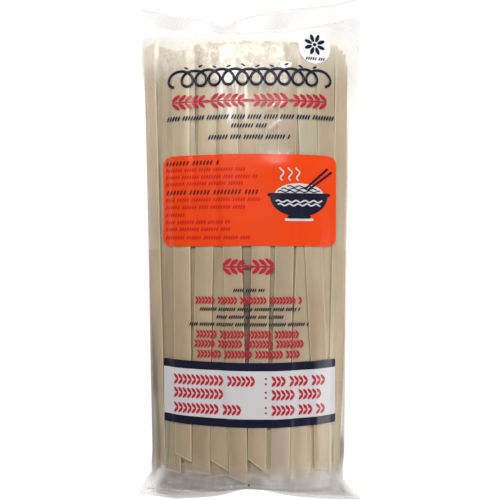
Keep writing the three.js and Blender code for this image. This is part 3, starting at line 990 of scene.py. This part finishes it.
def floor_material(colours):
    """Pale, evenly lit floor."""
    sheet = MaterialSheet("pale_floor")
    clouds = sheet.noise(sheet.place(), 0.004, 2.0, 0.5)
    surface = {
        "Base Color": sheet.tint(colours.floor, 0.24 + 0.04 * clouds),
        "Roughness": 0.8,
        "Emission Color": sheet.tint(colours.floor, 0.99 + 0.02 * clouds),
        "Emission Strength": 0.94,
        "Specular IOR Level": 0.1,
    }
    return sheet.finish(surface)


# ---- node trees for what repeats ----

# Height in metres from which a print drops on the film, and how close points are welded.
DROP_FROM = 0.2
WELD = 1e-7
INK_INPUTS = {"Film": "Object", "Ink thickness": "Float", "Gap": "Float"}


class ShapeSheet(Sheet):
    """A geometry tree with named inputs, one of them its material."""

    def __init__(self, name, inputs):
        super().__init__(bpy.data.node_groups.new(name, "GeometryNodeTree"))
        for label, kind in {"Geometry": "Geometry", **inputs, "Material": "Material"}.items():
            self.tree.interface.new_socket(label, in_out="INPUT", socket_type="NodeSocket" + kind)
        self.tree.interface.new_socket("Geometry", in_out="OUTPUT", socket_type="NodeSocketGeometry")

    def given(self, name):
        return self.node("NodeGroupInput", output=name)

    def read(self, name):
        return self.node("GeometryNodeInputNamedAttribute", {"Name": name}, data_type="FLOAT")

    def keep(self, geometry, name, value):
        inputs = {"Geometry": geometry, "Name": name, "Value": value}
        return self.node("GeometryNodeStoreNamedAttribute", inputs, data_type="FLOAT", domain="POINT")

    def position(self):
        return self.split(self.node("GeometryNodeInputPosition"))

    def curves(self):
        """The paths of the piece, as curves that keep their normal upright."""
        curves = self.node("GeometryNodeMeshToCurve", {0: self.given("Geometry")})
        return self.node("GeometryNodeSetCurveNormal", {"Curve": curves}, mode="Z_UP")

    def laid_on_film(self, mesh, x, y):
        """Drops a flat mesh straight down on the film at x and y, and gives it the ink's thickness."""
        film = self.node("GeometryNodeObjectInfo", {"Object": self.given("Film")}, "Geometry")
        ray = {
            "Target Geometry": film,
            "Source Position": self.vector(x, y, DROP_FROM),
            "Ray Direction": (0.0, 0.0, -1.0),
            "Ray Length": 1.0,
        }
        level = self.split(self.node("GeometryNodeRaycast", ray, "Hit Position"))[2] + self.given("Gap")
        low = self.node("GeometryNodeSetPosition", {"Geometry": mesh, "Position": self.vector(x, y, level)})
        rise = self.vector(0.0, 0.0, self.given("Ink thickness"))
        lift = {"Mesh": low, "Offset": rise, "Offset Scale": 1.0, "Individual": False}
        high = self.node("GeometryNodeExtrudeMesh", lift, "Mesh")
        under = self.node("GeometryNodeFlipFaces", {"Mesh": low})
        both = self.node("GeometryNodeJoinGeometry", {0: [under, high]})
        return self.node("GeometryNodeMergeByDistance", {"Geometry": both, "Distance": WELD})

    def finish(self, geometry):
        whole = self.node("GeometryNodeRealizeInstances", {"Geometry": geometry})
        dressed = {"Geometry": whole, "Material": self.given("Material")}
        self.node("NodeGroupOutput", {0: self.node("GeometryNodeSetMaterial", dressed)})
        return self.tree


def stick_tree():
    """Sweeps each path into a flat stick with slightly rounded edges and slanted ends."""
    sheet = ShapeSheet("rice_stick_shape", dict.fromkeys(("Width", "Thickness", "Edge radius"), "Float"))
    width = sheet.given("Width")
    curves = sheet.node("GeometryNodeSetCurveTilt", {"Curve": sheet.curves(), "Tilt": sheet.read("tilt")})
    curves = sheet.keep(curves, "along", sheet.node("GeometryNodeSplineParameter", output="Factor"))
    sides = {"Width": width, "Height": sheet.given("Thickness")}
    outline = sheet.node("GeometryNodeCurvePrimitiveQuadrilateral", sides)
    rounding = {"Curve": outline, "Radius": sheet.given("Edge radius"), "Count": 1}
    outline = sheet.node("GeometryNodeFilletCurve", rounding)
    outline = sheet.keep(outline, "across", sheet.position()[0] / (width * 0.5))
    sweep = {"Curve": curves, "Profile Curve": outline, "Fill Caps": True}
    solid = sheet.node("GeometryNodeCurveToMesh", sweep)
    along, across = sheet.read("along"), sheet.read("across")
    low = sheet.math("MAXIMUM", 1.0 - 2.0 * along, 0.0) * sheet.read("cut_low")
    high = sheet.math("MAXIMUM", 2.0 * along - 1.0, 0.0) * sheet.read("cut_high")
    offset = sheet.vector(0.0, (low + high) * across * 0.5, 0.0)
    return sheet.finish(sheet.node("GeometryNodeSetPosition", {"Geometry": solid, "Offset": offset}))


def mark_tree(name, cells_x, cells_y):
    """Lays one flat printed mark on the film at each point: a rounded bar, an oval, a bowl or a dome."""
    sheet = ShapeSheet(name, INK_INPUTS)
    grid = {"Size X": 2.0, "Size Y": 2.0, "Vertices X": cells_x, "Vertices Y": cells_y}
    unit = sheet.node("GeometryNodeMeshGrid", grid)
    for key, value in zip("uv", sheet.position()):
        unit = sheet.keep(unit, key, value)
    copies = {"Points": sheet.given("Geometry"), "Instance": unit}
    marks = sheet.node("GeometryNodeInstanceOnPoints", copies)
    marks = sheet.node("GeometryNodeRealizeInstances", {"Geometry": marks})
    u, v, half_long, half_high = map(sheet.read, ("u", "v", "half_long", "half_high"))
    corner, oval, flat, turn = map(sheet.read, ("corner", "oval", "flat", "turn"))
    beyond = sheet.math("MAXIMUM", sheet.math("ABSOLUTE", v) * half_high - (half_high - corner), 0.0)
    inset = corner - sheet.math("SQRT", sheet.math("MAXIMUM", corner * corner - beyond * beyond, 0.0))
    flatness = sheet.math("ABSOLUTE", flat)
    reach = v * (1.0 - flatness) + flatness * (1.0 - flat * v) * 0.5
    round_off = sheet.math("SQRT", sheet.math("MAXIMUM", 1.0 - reach * reach, 0.0))
    across = u * (half_long - inset) * (1.0 - oval + oval * round_off)
    along = v * half_high + sheet.read("bow") * (1.0 - u * u)
    cosine, sine = sheet.math("COSINE", turn), sheet.math("SINE", turn)
    x = sheet.read("centre_x") + across * cosine - along * sine
    y = sheet.read("centre_y") + across * sine + along * cosine
    return sheet.finish(sheet.laid_on_film(marks, x, y))


def stroke_tree(name):
    """Sweeps each path into a flat printed stroke that lies on the film."""
    sheet = ShapeSheet(name, {"Stroke width": "Float", **INK_INPUTS})
    half = sheet.given("Stroke width") * 0.5
    ends = {"Start": sheet.vector(-half, 0.0, 0.0), "End": sheet.vector(half, 0.0, 0.0)}
    line = sheet.node("GeometryNodeCurvePrimitiveLine", ends)
    ribbon = sheet.node("GeometryNodeCurveToMesh", {"Curve": sheet.curves(), "Profile Curve": line})
    x, y, _ = sheet.position()
    return sheet.finish(sheet.laid_on_film(ribbon, x, y))


# ---- the print ----

Mark = namedtuple("Mark", "x y half_long half_high corner oval turn flat bow")
# What turns each length and angle of a mark into metres and radians.
MARK_UNITS = Mark(1.0, 1.0, MM, MM, MM, 1.0, math.radians(1.0), 1.0, MM)


def mark(x, y, long, high, corner=None, oval=0.0, turn=0.0, flat=0.0, bow=0.0):
    """A printed mark by its middle, size and corner radius, in millimetres, and its turn in degrees.

    An oval of 1 is an ellipse; flat makes it half of one, as a bowl (1) or a dome (-1); bow lifts its middle.
    """
    corner = min(long, high) / 2.0 if corner is None else corner
    return Mark(x, y, long / 2.0, high / 2.0, corner, oval, turn, flat, bow)


def oval(x, y, long, high, turn=0.0):
    return mark(x, y, long, high, 0.0, 1.0, turn)


def grouped(x0, x1, pitch, seed, group, pause):
    """Places along a line, in groups of a random number with a pause after each."""
    draws = np.random.default_rng(seed)
    x, left = x0 + pitch / 2.0, draws.integers(*group)
    while x < x1:
        yield x
        left -= 1
        x += pitch
        if left == 0:
            x += pause * pitch
            left = draws.integers(*group)


def cord_row(x0, x1, y, high, seed, pitch, lean=24.0, fill=0.6, group=(4, 9)):
    """Groups of leaning grains that run like a twisted cord along a line of print."""
    places = grouped(x0, x1, pitch, seed, group, 0.8)
    return [mark(x, y, fill * pitch, high, fill * pitch * 0.45, 0.35, -lean) for x in places]


def plait_row(x0, x1, y, high, seed, pitch, group=(5, 9)):
    """Groups of grains in pairs that lean together, as in a flat plait along a line of print."""
    return [
        oval(x, y + side * 0.24 * high, 0.66 * high, 0.66 * pitch, -side * 52.0)
        for x in grouped(x0, x1, pitch, seed, group, 0.9)
        for side in (1.0, -1.0)
    ]


def ear(x0, x1, y, high, pairs, way=1.0):
    """A rice ear that lies along a line: a stem with a pair of grains at each step, pointing one way."""
    root, tip = (x0, x1) if way > 0 else (x1, x0)
    step = (x1 - x0) / (pairs + 0.6)
    marks = [mark((x0 + x1) / 2.0, y, x1 - x0, 0.09 * high)]
    for i in range(pairs):
        x = root + way * (i + 0.5) * step + way * 0.1 * step
        shrink = 1.0 - 0.25 * i / pairs
        for side in (1.0, -1.0):
            place = y + side * 0.27 * high * shrink
            marks.append(oval(x, place, 0.62 * high * shrink, 0.24 * high, way * side * 38.0))
    return [*marks, oval(tip - way * 0.2 * step, y, 0.5 * high, 0.2 * high)]


def rosette(x, y, radius, petals):
    marks = [oval(x, y, 0.34 * radius, 0.34 * radius)]
    for k in range(petals):
        angle = TURN * (k + 0.5) / petals
        place = (x + 0.62 * radius * math.cos(angle), y + 0.62 * radius * math.sin(angle))
        marks.append(oval(*place, 0.72 * radius, 0.36 * radius, math.degrees(angle)))
    return marks


def wave(x0, y0, x1, y1, swing, waves, points=40):
    """A wavy path between two points, for noodles and steam."""
    t = np.linspace(0.0, 1.0, points)
    run = np.hypot(x1 - x0, y1 - y0)
    side = swing * np.sin(TURN * waves * t)
    return list(zip(x0 + (x1 - x0) * t - (y1 - y0) / run * side, y0 + (y1 - y0) * t + (x1 - x0) / run * side))


def every(row, table):
    """The marks of a kind of row, for each line of a table."""
    return [m for line in table for m in row(*line)]


ORANGE_PANEL = mark(-0.4, 26.2, 94.0, 48.8, 4.8, bow=0.4)
WHITE_PANEL = mark(-0.4, -76.2, 93.4, 25.7, 0.1, bow=-1.0)
NAVY_BANDS = [mark(-0.4, -61.1, 93.4, 4.3, 0.1, bow=-1.0), mark(-0.2, -91.35, 93.6, 4.4, 0.1, bow=-1.0)]
BADGE = oval(34.8, 108.7, 17.4, 17.4)
CURLS = Named(left=-42.6, right=41.8, level=92.2, high=4.2, count=11, inset=1.4)
# Rows of cords and of plaits: both ends, level, height, seed, pitch, and for headings lean, fill and group.
NAVY_CORDS = [
    (-45.2, 45.0, 70.9, 3.2, 51, 1.5),
    (-10.2, 9.2, 66.2, 2.9, 52, 1.5),
    (-22.4, 22.0, 60.2, 3.1, 53, 1.5),
    (-9.0, 8.0, -21.4, 2.2, 54, 1.15),
    (-27.0, 26.4, -31.5, 2.4, 55, 1.15),
    (-18.0, 17.6, -35.6, 2.4, 56, 1.15),
    (-32.6, 31.6, -39.6, 2.4, 57, 1.15),
]
RED_PLAITS = [
    (-29.4, 27.8, -26.8, 4.0, 61, 1.75),
    (-28.9, 27.2, -44.9, 4.3, 62, 1.85),
    (-30.0, 28.3, -50.0, 4.3, 63, 1.85),
    (-28.4, 26.7, -55.5, 4.3, 64, 1.85),
]
HEADINGS = [
    (-46.0, -17.0, 46.6, 3.0, 111, 1.9, 20.0, 0.56, (6, 9)),
    (-45.6, 4.8, 30.9, 3.2, 112, 1.9, 20.0, 0.56, (6, 9)),
]
# Level and right end of each small row on the orange panel.
SMALL_ROWS = [
    (42.9, -1.0), (39.1, 4.2), (35.5, -2.1), (26.9, 5.3), (22.9, -2.1), (18.8, -33.5), (14.9, -10.1),
    (11.1, -10.6), (6.6, 1.1),
]
# Level of each red line on the white panel, and where its left part ends.
PANEL_LINES = [(-69.7, 5.0), (-77.0, -11.0), (-85.2, -5.6)]
BOWL = Named(x=26.2, rim=29.2, wide=31.0, deep=11.0)


def curl_path():
    """A noodle that curls over itself along the top row."""
    turns = np.linspace(0.0, TURN * CURLS.count, 44 * CURLS.count + 1)
    run = CURLS.right - CURLS.left
    x = CURLS.left + CURLS.inset + (run - 2.0 * CURLS.inset) * turns / turns[-1]
    return list(zip(x - 0.62 * run / CURLS.count * np.sin(turns), CURLS.level - CURLS.high * np.cos(turns)))


def navy_rows():
    places = [(-38.2 + 7.67 * (i + 0.5), 98.6 if i % 3 == 1 else 97.9) for i in range(10)]
    grains = [oval(*place, 2.6, 1.2, 24.0 if i % 2 else -24.0) for i, place in enumerate(places)]
    return [*grains, *every(cord_row, NAVY_CORDS), mark(-0.5, -125.7, 0.8, 1.5)]


def red_rows():
    starts = [-42.3 + 21.2 * k for k in range(4)]
    ears = [(x, x + 20.0, 79.6, 8.6, 5, 1.0 if x < -10.0 else -1.0) for x in starts]
    ears += [(-14.4, -1.2, -8.8, 9.2, 3), (-0.6, 12.7, -8.8, 9.2, 3, -1.0)]
    return every(ear, ears) + every(plait_row, RED_PLAITS)


def panel_lines():
    marks = []
    for k, (y, split) in enumerate(PANEL_LINES):
        marks += plait_row(-41.3, split, y, 5.6, 71 + k, 2.45, (5, 12))
        marks += [oval(8.4, y + up, 1.2, 1.2) for up in (1.4, -1.4)]
        marks += plait_row(11.5, 40.5, y, 5.6, 81 + k, 2.45, (3, 6))
    return marks


def small_rows():
    rows = [(-46.0, end, y, 2.6, 91 + k, 1.35, 20.0, 0.68) for k, (y, end) in enumerate(SMALL_ROWS)]
    return every(cord_row, rows)


def badge_marks():
    line = cord_row(BADGE.x - 5.0, BADGE.x + 5.0, BADGE.y - 6.0, 2.0, 121, 1.2)
    return rosette(BADGE.x, BADGE.y + 1.7, 6.0, 8) + line


def emblem_white():
    heap = mark(BOWL.x, BOWL.rim + 3.1, 0.86 * BOWL.wide, 6.6, 0.0, 1.0, flat=-1.0)
    return [heap, mark(BOWL.x, BOWL.rim - BOWL.deep - 2.1, 0.5 * BOWL.wide, 1.3)]


def emblem_navy():
    x, rim, wide, deep = BOWL.x, BOWL.rim, BOWL.wide, BOWL.deep
    return [
        mark(x, rim - deep / 2.0 - 0.5, wide, deep, 0.0, 1.0, flat=1.0),
        mark(x, rim + 0.2, wide + 3.0, 1.7),
        mark(x, rim - deep - 0.6, 0.4 * wide, 1.8),
        mark(x + 9.4, rim + 8.8, 17.0, 1.1, turn=42.0),
        mark(x + 11.2, rim + 7.6, 17.0, 1.1, turn=37.0),
    ]


def level_wave(up, half, swing, length):
    """A wavy path across the bowl, at a height over its rim."""
    return wave(BOWL.x - half, BOWL.rim + up, BOWL.x + half, BOWL.rim + up, swing, half / length, 70)


def emblem_noodles():
    return [level_wave(up, half, 0.42, 2.6) for up, half in ((1.9, 11.4), (3.2, 9.6), (4.5, 6.4))]


def emblem_steam():
    """Three wisps of steam, and two wavy lines across the side of the bowl."""
    x, rim = BOWL.x, BOWL.rim
    wisps = [wave(x + dx, rim + 7.6, x + dx - 0.6, rim + 14.6, 0.95, 1.25) for dx in (-9.0, -4.6, -0.4)]
    halves = {up: 0.5 * BOWL.wide * math.sqrt(1.0 - (up / BOWL.deep) ** 2) - 2.2 for up in (-3.4, -5.2)}
    return wisps + [level_wave(up, half, 0.5, 2.4) for up, half in halves.items()]


def printed(name, marks, cells, inputs):
    """Marks laid on the film, each as a grid of cells."""
    middles = [(m.x, m.y, 0.0) for m in marks]
    piece = new_object(name, middles)
    places = to_metres(middles)
    columns = dict(zip(Mark._fields, (np.array(marks, float) * MARK_UNITS).T))
    columns.update(centre_x=places[:, 0], centre_y=places[:, 1])
    set_attributes(piece, **columns)
    return made_plain(piece, mark_tree(name + "_shape", *cells), inputs)


def stroked(name, paths, width, inputs):
    """Paths laid on the film, as strokes of one width."""
    points, edges = [], []
    for path in paths:
        edges += [(len(points) + i, len(points) + i + 1) for i in range(len(path) - 1)]
        points += [(x, y, 0.0) for x, y in path]
    piece = new_object(name, points, edges=edges)
    return made_plain(piece, stroke_tree(name + "_shape"), {**inputs, "Stroke width": width * MM})


# ---- add-on classes ----


def number(name, description, default, **settings):
    return FloatProperty(name=name, description=description, default=default, **settings)


def length(name, description, default):
    return number(name, description, default, unit="LENGTH", precision=5, min=0.0)


def power(name, description, default):
    return number(name, description, default, unit="POWER")


def colour(name, description, default):
    limits = {"size": 3, "min": 0.0, "max": 1.0}
    return FloatVectorProperty(name=name, description=description, default=default, subtype="COLOR", **limits)


class RicePackSizes(bpy.types.PropertyGroup):
    stick_width: length("Stick width", "Width of one rice stick", 0.0099)
    stick_thickness: length("Stick thickness", "Thickness of one rice stick", 0.00095)
    stick_edge: length("Stick edge", "Rounding of the long edges of a stick", 0.00016)
    film_clearance: length("Film clearance", "Room between the sticks and the film", 0.0003)
    seal_thickness: length("Seal thickness", "Thickness of the two films where they are sealed", 0.0003)
    ink_thickness: length("Ink thickness", "Thickness of a printed layer", 0.00005)
    print_gap: length("Print gap", "Room between the film and the print on it", 0.00009)
    seed: IntProperty(name="Seed", description="Start of the random draws for the sticks", default=7, min=0)


class RicePackColours(bpy.types.PropertyGroup):
    rice_light: colour("Light rice", "Palest part of a stick", (0.61, 0.485, 0.325))
    # The dark end of the sticks' tones, which also serves as painted shade on the second row and on low-lying
    # front sticks.
    rice_dark: colour("Dark rice", "Deepest part of a stick", (0.36, 0.238, 0.148))
    # Colour of the painted highlight on the long edges and cut ends of a stick.
    rice_edge: colour("Stick edge", "Cut and long edges of a stick", (0.7, 0.61, 0.42))
    rice_cool: colour("Cool rice", "Sticks that look greyer than the rest", (0.55, 0.47, 0.38))
    # Also the colour of the painted highlights on the film.
    film_white: colour("Film white", "Milky film at the seals", (0.88, 0.88, 0.9))
    film_warm: colour("Film over rice", "Milky film that lies on the sticks", (0.9, 0.83, 0.68))
    # Grey-brown of painted shade in the milky film, at the low end and along the lower sides; a little of it
    # also greys the top seal.
    film_grey: colour("Film grey", "Film that turns away from the light", (0.41, 0.32, 0.245))
    ink_orange: colour("Orange ink", "Large panel", (0.82, 0.056, 0.001))
    ink_navy: colour("Navy ink", "Bands and small rows", (0.005, 0.006, 0.024))
    ink_red: colour("Red ink", "Large rows", (0.5, 0.012, 0.03))
    ink_deep_red: colour("Deep red ink", "Rows on the orange panel", (0.62, 0.012, 0.006))
    ink_maroon: colour("Maroon ink", "Headings on the orange panel", (0.13, 0.008, 0.01))
    ink_white: colour("White ink", "White panel and emblem", (0.69, 0.66, 0.67))
    ink_bright_white: colour("Bright white ink", "Badge", (0.9, 0.9, 0.9))
    floor: colour("Floor", "Plain pale floor", (1.0, 1.0, 1.0))


class RicePackStage(bpy.types.PropertyGroup):
    camera_height: length("Camera height", "Height of the camera over the floor", 0.421)
    lens: number("Lens", "Focal length for a 36 mm wide sensor", 51.6, unit="CAMERA")
    key_power: power("Key light", "Power of the large light", 3.35)
    right_power: power("Right light", "Power of the low right light", 2.0)
    left_power: power("Left light", "Power of the low left light", 0.3)
    ambient: number("Ambient", "Strength of the light from all round", 0.22, min=0.0)


GROUPS = {
    "rice_pack_sizes": RicePackSizes,
    "rice_pack_colours": RicePackColours,
    "rice_pack_stage": RicePackStage,
}


class PackOperator:
    bl_options = {"REGISTER", "UNDO"}

    def execute(self, context):
        self.build(*(getattr(context.scene, name) for name in GROUPS))
        return {"FINISHED"}


class RICEPACK_OT_sticks(PackOperator, bpy.types.Operator):
    """Make the rice sticks that fill the pack"""

    bl_idname = "ricepack.sticks"
    bl_label = "Rice sticks"

    def build(self, sizes, colours, stage):
        sticks = all_sticks(sizes.stick_width / MM, sizes.stick_thickness / MM, sizes.seed)
        points = np.concatenate([np.stack([s.x, s.y, s.z], -1) for s in sticks])
        starts = (np.arange(len(sticks))[:, None] * STATIONS + np.arange(STATIONS - 1)).ravel()
        piece = new_object("rice_sticks", points, edges=np.stack([starts, starts + 1], -1))
        for key, unit in (("tilt", 1.0), ("tone", 1.0), ("cool", 1.0), ("cut_low", MM), ("cut_high", MM)):
            set_attributes(piece, **{key: [getattr(s, key) * unit + 0.0 * s.y for s in sticks]})
        inputs = {
            "Width": sizes.stick_width,
            "Thickness": sizes.stick_thickness,
            "Edge radius": sizes.stick_edge,
            "Material": rice_material(colours),
        }
        finish_piece(made_plain(piece, stick_tree(), inputs), "rice_sticks")


class RICEPACK_OT_film(PackOperator, bpy.types.Operator):
    """Make the clear film bag over the sticks"""

    bl_idname = "ricepack.film"
    bl_label = "Film bag"

    def build(self, sizes, colours, stage):
        front, back, u, shoulder, flap = film_grid(sizes)
        piece = new_object("film", *bag_mesh(front, back), smooth=True)
        milky, milky_back, grey, warm = film_zones(front, u, shoulder, flap)
        glare, runs = painted_glare_zones(front)
        none = np.zeros_like(glare)
        set_attributes(piece, milky=(milky, milky_back), grey=(grey, grey), warm=(warm, none))
        set_attributes(piece, glare=(glare, none), runs=(runs, none))
        finish_piece(piece, "film", film_material(colours))


class RICEPACK_OT_fin_seal(PackOperator, bpy.types.Operator):
    """Make the lengthwise seal that lies folded on the back"""

    bl_idname = "ricepack.fin_seal"
    bl_label = "Fin seal"

    def build(self, sizes, colours, stage):
        v = np.linspace(BODY.bottom, BODY.top, FIN.rows + 1)[:, None]
        w = np.linspace(-1.0, 1.0, FIN.columns + 1)[None, :]
        wander = 0.5 * (value_noise(0.0 * v, v, 30.0, 26.0, 131) - 0.5)
        x = FIN.offset + wander + FIN.width / 2.0 * w
        y = v + 0.0 * w
        crimp = 0.5 + 0.5 * np.cos(x / FIN.pitch * 2.0 * math.pi)
        ripple = value_noise(x, y, 5.0, 7.0, 132)
        low = FIN.low + 0.06 * ripple * smoothstep(np.abs(w), 0.4, 1.0)
        high = FIN.high - 0.06 * crimp - 0.1 * ripple * np.abs(w)
        faces = bag_mesh(*(np.stack([x, y, z], -1) for z in (high, low)))
        piece = new_object("film_fin_seal", *faces, smooth=True)
        set_attributes(piece, milky=np.full(2 * x.size, 0.25), grey=np.full(2 * x.size, 0.2))
        finish_piece(piece, "film", bpy.data.materials["clear_film"])


class PrintOperator(PackOperator):
    """Lays prints on the film: name, marks or paths, cells of a mark or width of a stroke, ink, and layer."""

    def build(self, sizes, colours, stage):
        film = bpy.data.objects.get("film")
        if film is None:
            raise RuntimeError("the film has to be made before the print on it")
        for name, shapes, detail, ink, layer in self.prints:
            inputs = {
                "Film": film,
                "Ink thickness": sizes.ink_thickness,
                "Gap": sizes.print_gap + layer * (sizes.print_gap + sizes.ink_thickness),
                "Material": bpy.data.materials.get(ink) or ink_material(ink, colours),
            }
            lay = stroked if isinstance(detail, float) else printed
            finish_piece(lay("print_" + name, shapes, detail, inputs), INKS[ink].slot)


class RICEPACK_OT_panels(PrintOperator, bpy.types.Operator):
    """Print the orange panel, the white panel and the two navy bands"""

    bl_idname = "ricepack.panels"
    bl_label = "Printed panels"
    prints = (
        ("orange_panel", [ORANGE_PANEL], (110, 60), "ink_orange", 0),
        ("white_panel", [WHITE_PANEL], (110, 34), "ink_white", 0),
        ("navy_bands", NAVY_BANDS, (110, 7), "ink_navy", 0),
    )


class RICEPACK_OT_rows(PrintOperator, bpy.types.Operator):
    """Print the rows of navy, red and maroon marks"""

    bl_idname = "ricepack.rows"
    bl_label = "Printed rows"
    prints = (
        ("navy_rows", navy_rows(), (3, 5), "ink_navy", 0),
        ("navy_curls", [curl_path()], 1.45, "ink_navy", 0),
        ("red_rows", red_rows(), (6, 5), "ink_red", 0),
        ("red_columns", panel_lines(), (5, 5), "ink_red", 1),
        ("small_rows", small_rows(), (3, 4), "ink_deep_red", 1),
        ("headings", every(cord_row, HEADINGS), (3, 5), "ink_maroon", 1),
    )


class RICEPACK_OT_badge(PrintOperator, bpy.types.Operator):
    """Print the round badge in the upper right corner"""

    bl_idname = "ricepack.badge"
    bl_label = "Badge"
    prints = (
        ("badge", [BADGE], (28, 28), "ink_bright_white", 0),
        ("badge_marks", badge_marks(), (9, 6), "ink_navy", 1),
    )


class RICEPACK_OT_emblem(PrintOperator, bpy.types.Operator):
    """Print the bowl of noodles on the orange panel"""

    bl_idname = "ricepack.emblem"
    bl_label = "Emblem"
    prints = (
        ("emblem_white", emblem_white(), (34, 12), "ink_white", 1),
        ("emblem_navy", emblem_navy(), (34, 14), "ink_navy", 2),
        ("emblem_noodles", emblem_noodles(), 0.5, "ink_navy", 3),
        ("emblem_steam", emblem_steam(), 0.8, "ink_white", 3),
    )


FLOOR_REACH = 3000.0
# The lights: place and target in metres, and size of each.
LIGHTS = {
    "key": ((-0.04, 0.34, 0.56), (0.0, 0.06, 0.035), (0.52, 0.28)),
    "right": ((0.55, -0.3, 0.32), (0.02, -0.08, 0.02), (0.56, 0.22)),
    "left": ((-0.6, 0.05, 0.2), (-0.02, 0.0, 0.02), (0.5, 0.06)),
}


class RICEPACK_OT_stage(PackOperator, bpy.types.Operator):
    """Set up the floor, the lights and the camera"""

    bl_idname = "ricepack.stage"
    bl_label = "Stage"

    def build(self, sizes, colours, stage):
        scene = bpy.context.scene
        corners = [(FLOOR_REACH * x, FLOOR_REACH * y, 0.0) for x, y in ((-1, -1), (1, -1), (1, 1), (-1, 1))]
        floor = new_object("floor", corners, [(0, 1, 2, 3)])
        floor.data.materials.append(floor_material(colours))

        world = bpy.data.worlds.new("studio")
        world.use_nodes = True
        background = world.node_tree.nodes["Background"]
        background.inputs["Color"].default_value = (1.0, 1.0, 1.0, 1.0)
        background.inputs["Strength"].default_value = stage.ambient
        scene.world = world

        for name, (place, target, size) in LIGHTS.items():
            light = bpy.data.lights.new(name + "_light", "AREA")
            light.shape = "RECTANGLE"
            light.size, light.size_y = size
            light.energy = getattr(stage, name + "_power")
            holder = self.linked(light, place)
            holder.rotation_euler = (Vector(target) - Vector(place)).to_track_quat("-Z", "Y").to_euler()

        camera = bpy.data.cameras.new("camera")
        camera.sensor_width = 36.0
        camera.lens = stage.lens
        camera.clip_start = 0.01
        scene.camera = self.linked(camera, (-CENTRE[0] * MM, -CENTRE[1] * MM, stage.camera_height))
        scene.view_settings.view_transform = "Standard"

    @staticmethod
    def linked(data, place):
        holder = bpy.data.objects.new(data.name, data)
        holder.location = place
        bpy.context.scene.collection.objects.link(holder)
        return holder


OPERATORS = (
    RICEPACK_OT_sticks,
    RICEPACK_OT_film,
    RICEPACK_OT_fin_seal,
    RICEPACK_OT_panels,
    RICEPACK_OT_rows,
    RICEPACK_OT_badge,
    RICEPACK_OT_emblem,
    RICEPACK_OT_stage,
)


class RICEPACK_PT_panel(bpy.types.Panel):
    bl_label = "Rice pack"
    bl_idname = "RICEPACK_PT_panel"
    bl_space_type = "VIEW_3D"
    bl_region_type = "UI"
    bl_category = "Rice pack"

    def draw(self, context):
        for name, group in GROUPS.items():
            box = self.layout.box()
            for key in group.__annotations__:
                box.prop(getattr(context.scene, name), key)
        for operator in OPERATORS:
            self.layout.operator(operator.bl_idname)


CLASSES = (*GROUPS.values(), *OPERATORS, RICEPACK_PT_panel)


def register():
    for cls in CLASSES:
        bpy.utils.register_class(cls)
    for name, group in GROUPS.items():
        setattr(bpy.types.Scene, name, PointerProperty(type=group))


def unregister():
    for name in GROUPS:
        delattr(bpy.types.Scene, name)
    for cls in reversed(CLASSES):
        bpy.utils.unregister_class(cls)


def main():
    register()
    bpy.ops.ricepack.sticks()
    bpy.ops.ricepack.film()
    bpy.ops.ricepack.fin_seal()
    bpy.ops.ricepack.panels()
    bpy.ops.ricepack.rows()
    bpy.ops.ricepack.badge()
    bpy.ops.ricepack.emblem()
    bpy.ops.ricepack.stage()


if __name__ == "__main__":
    main()
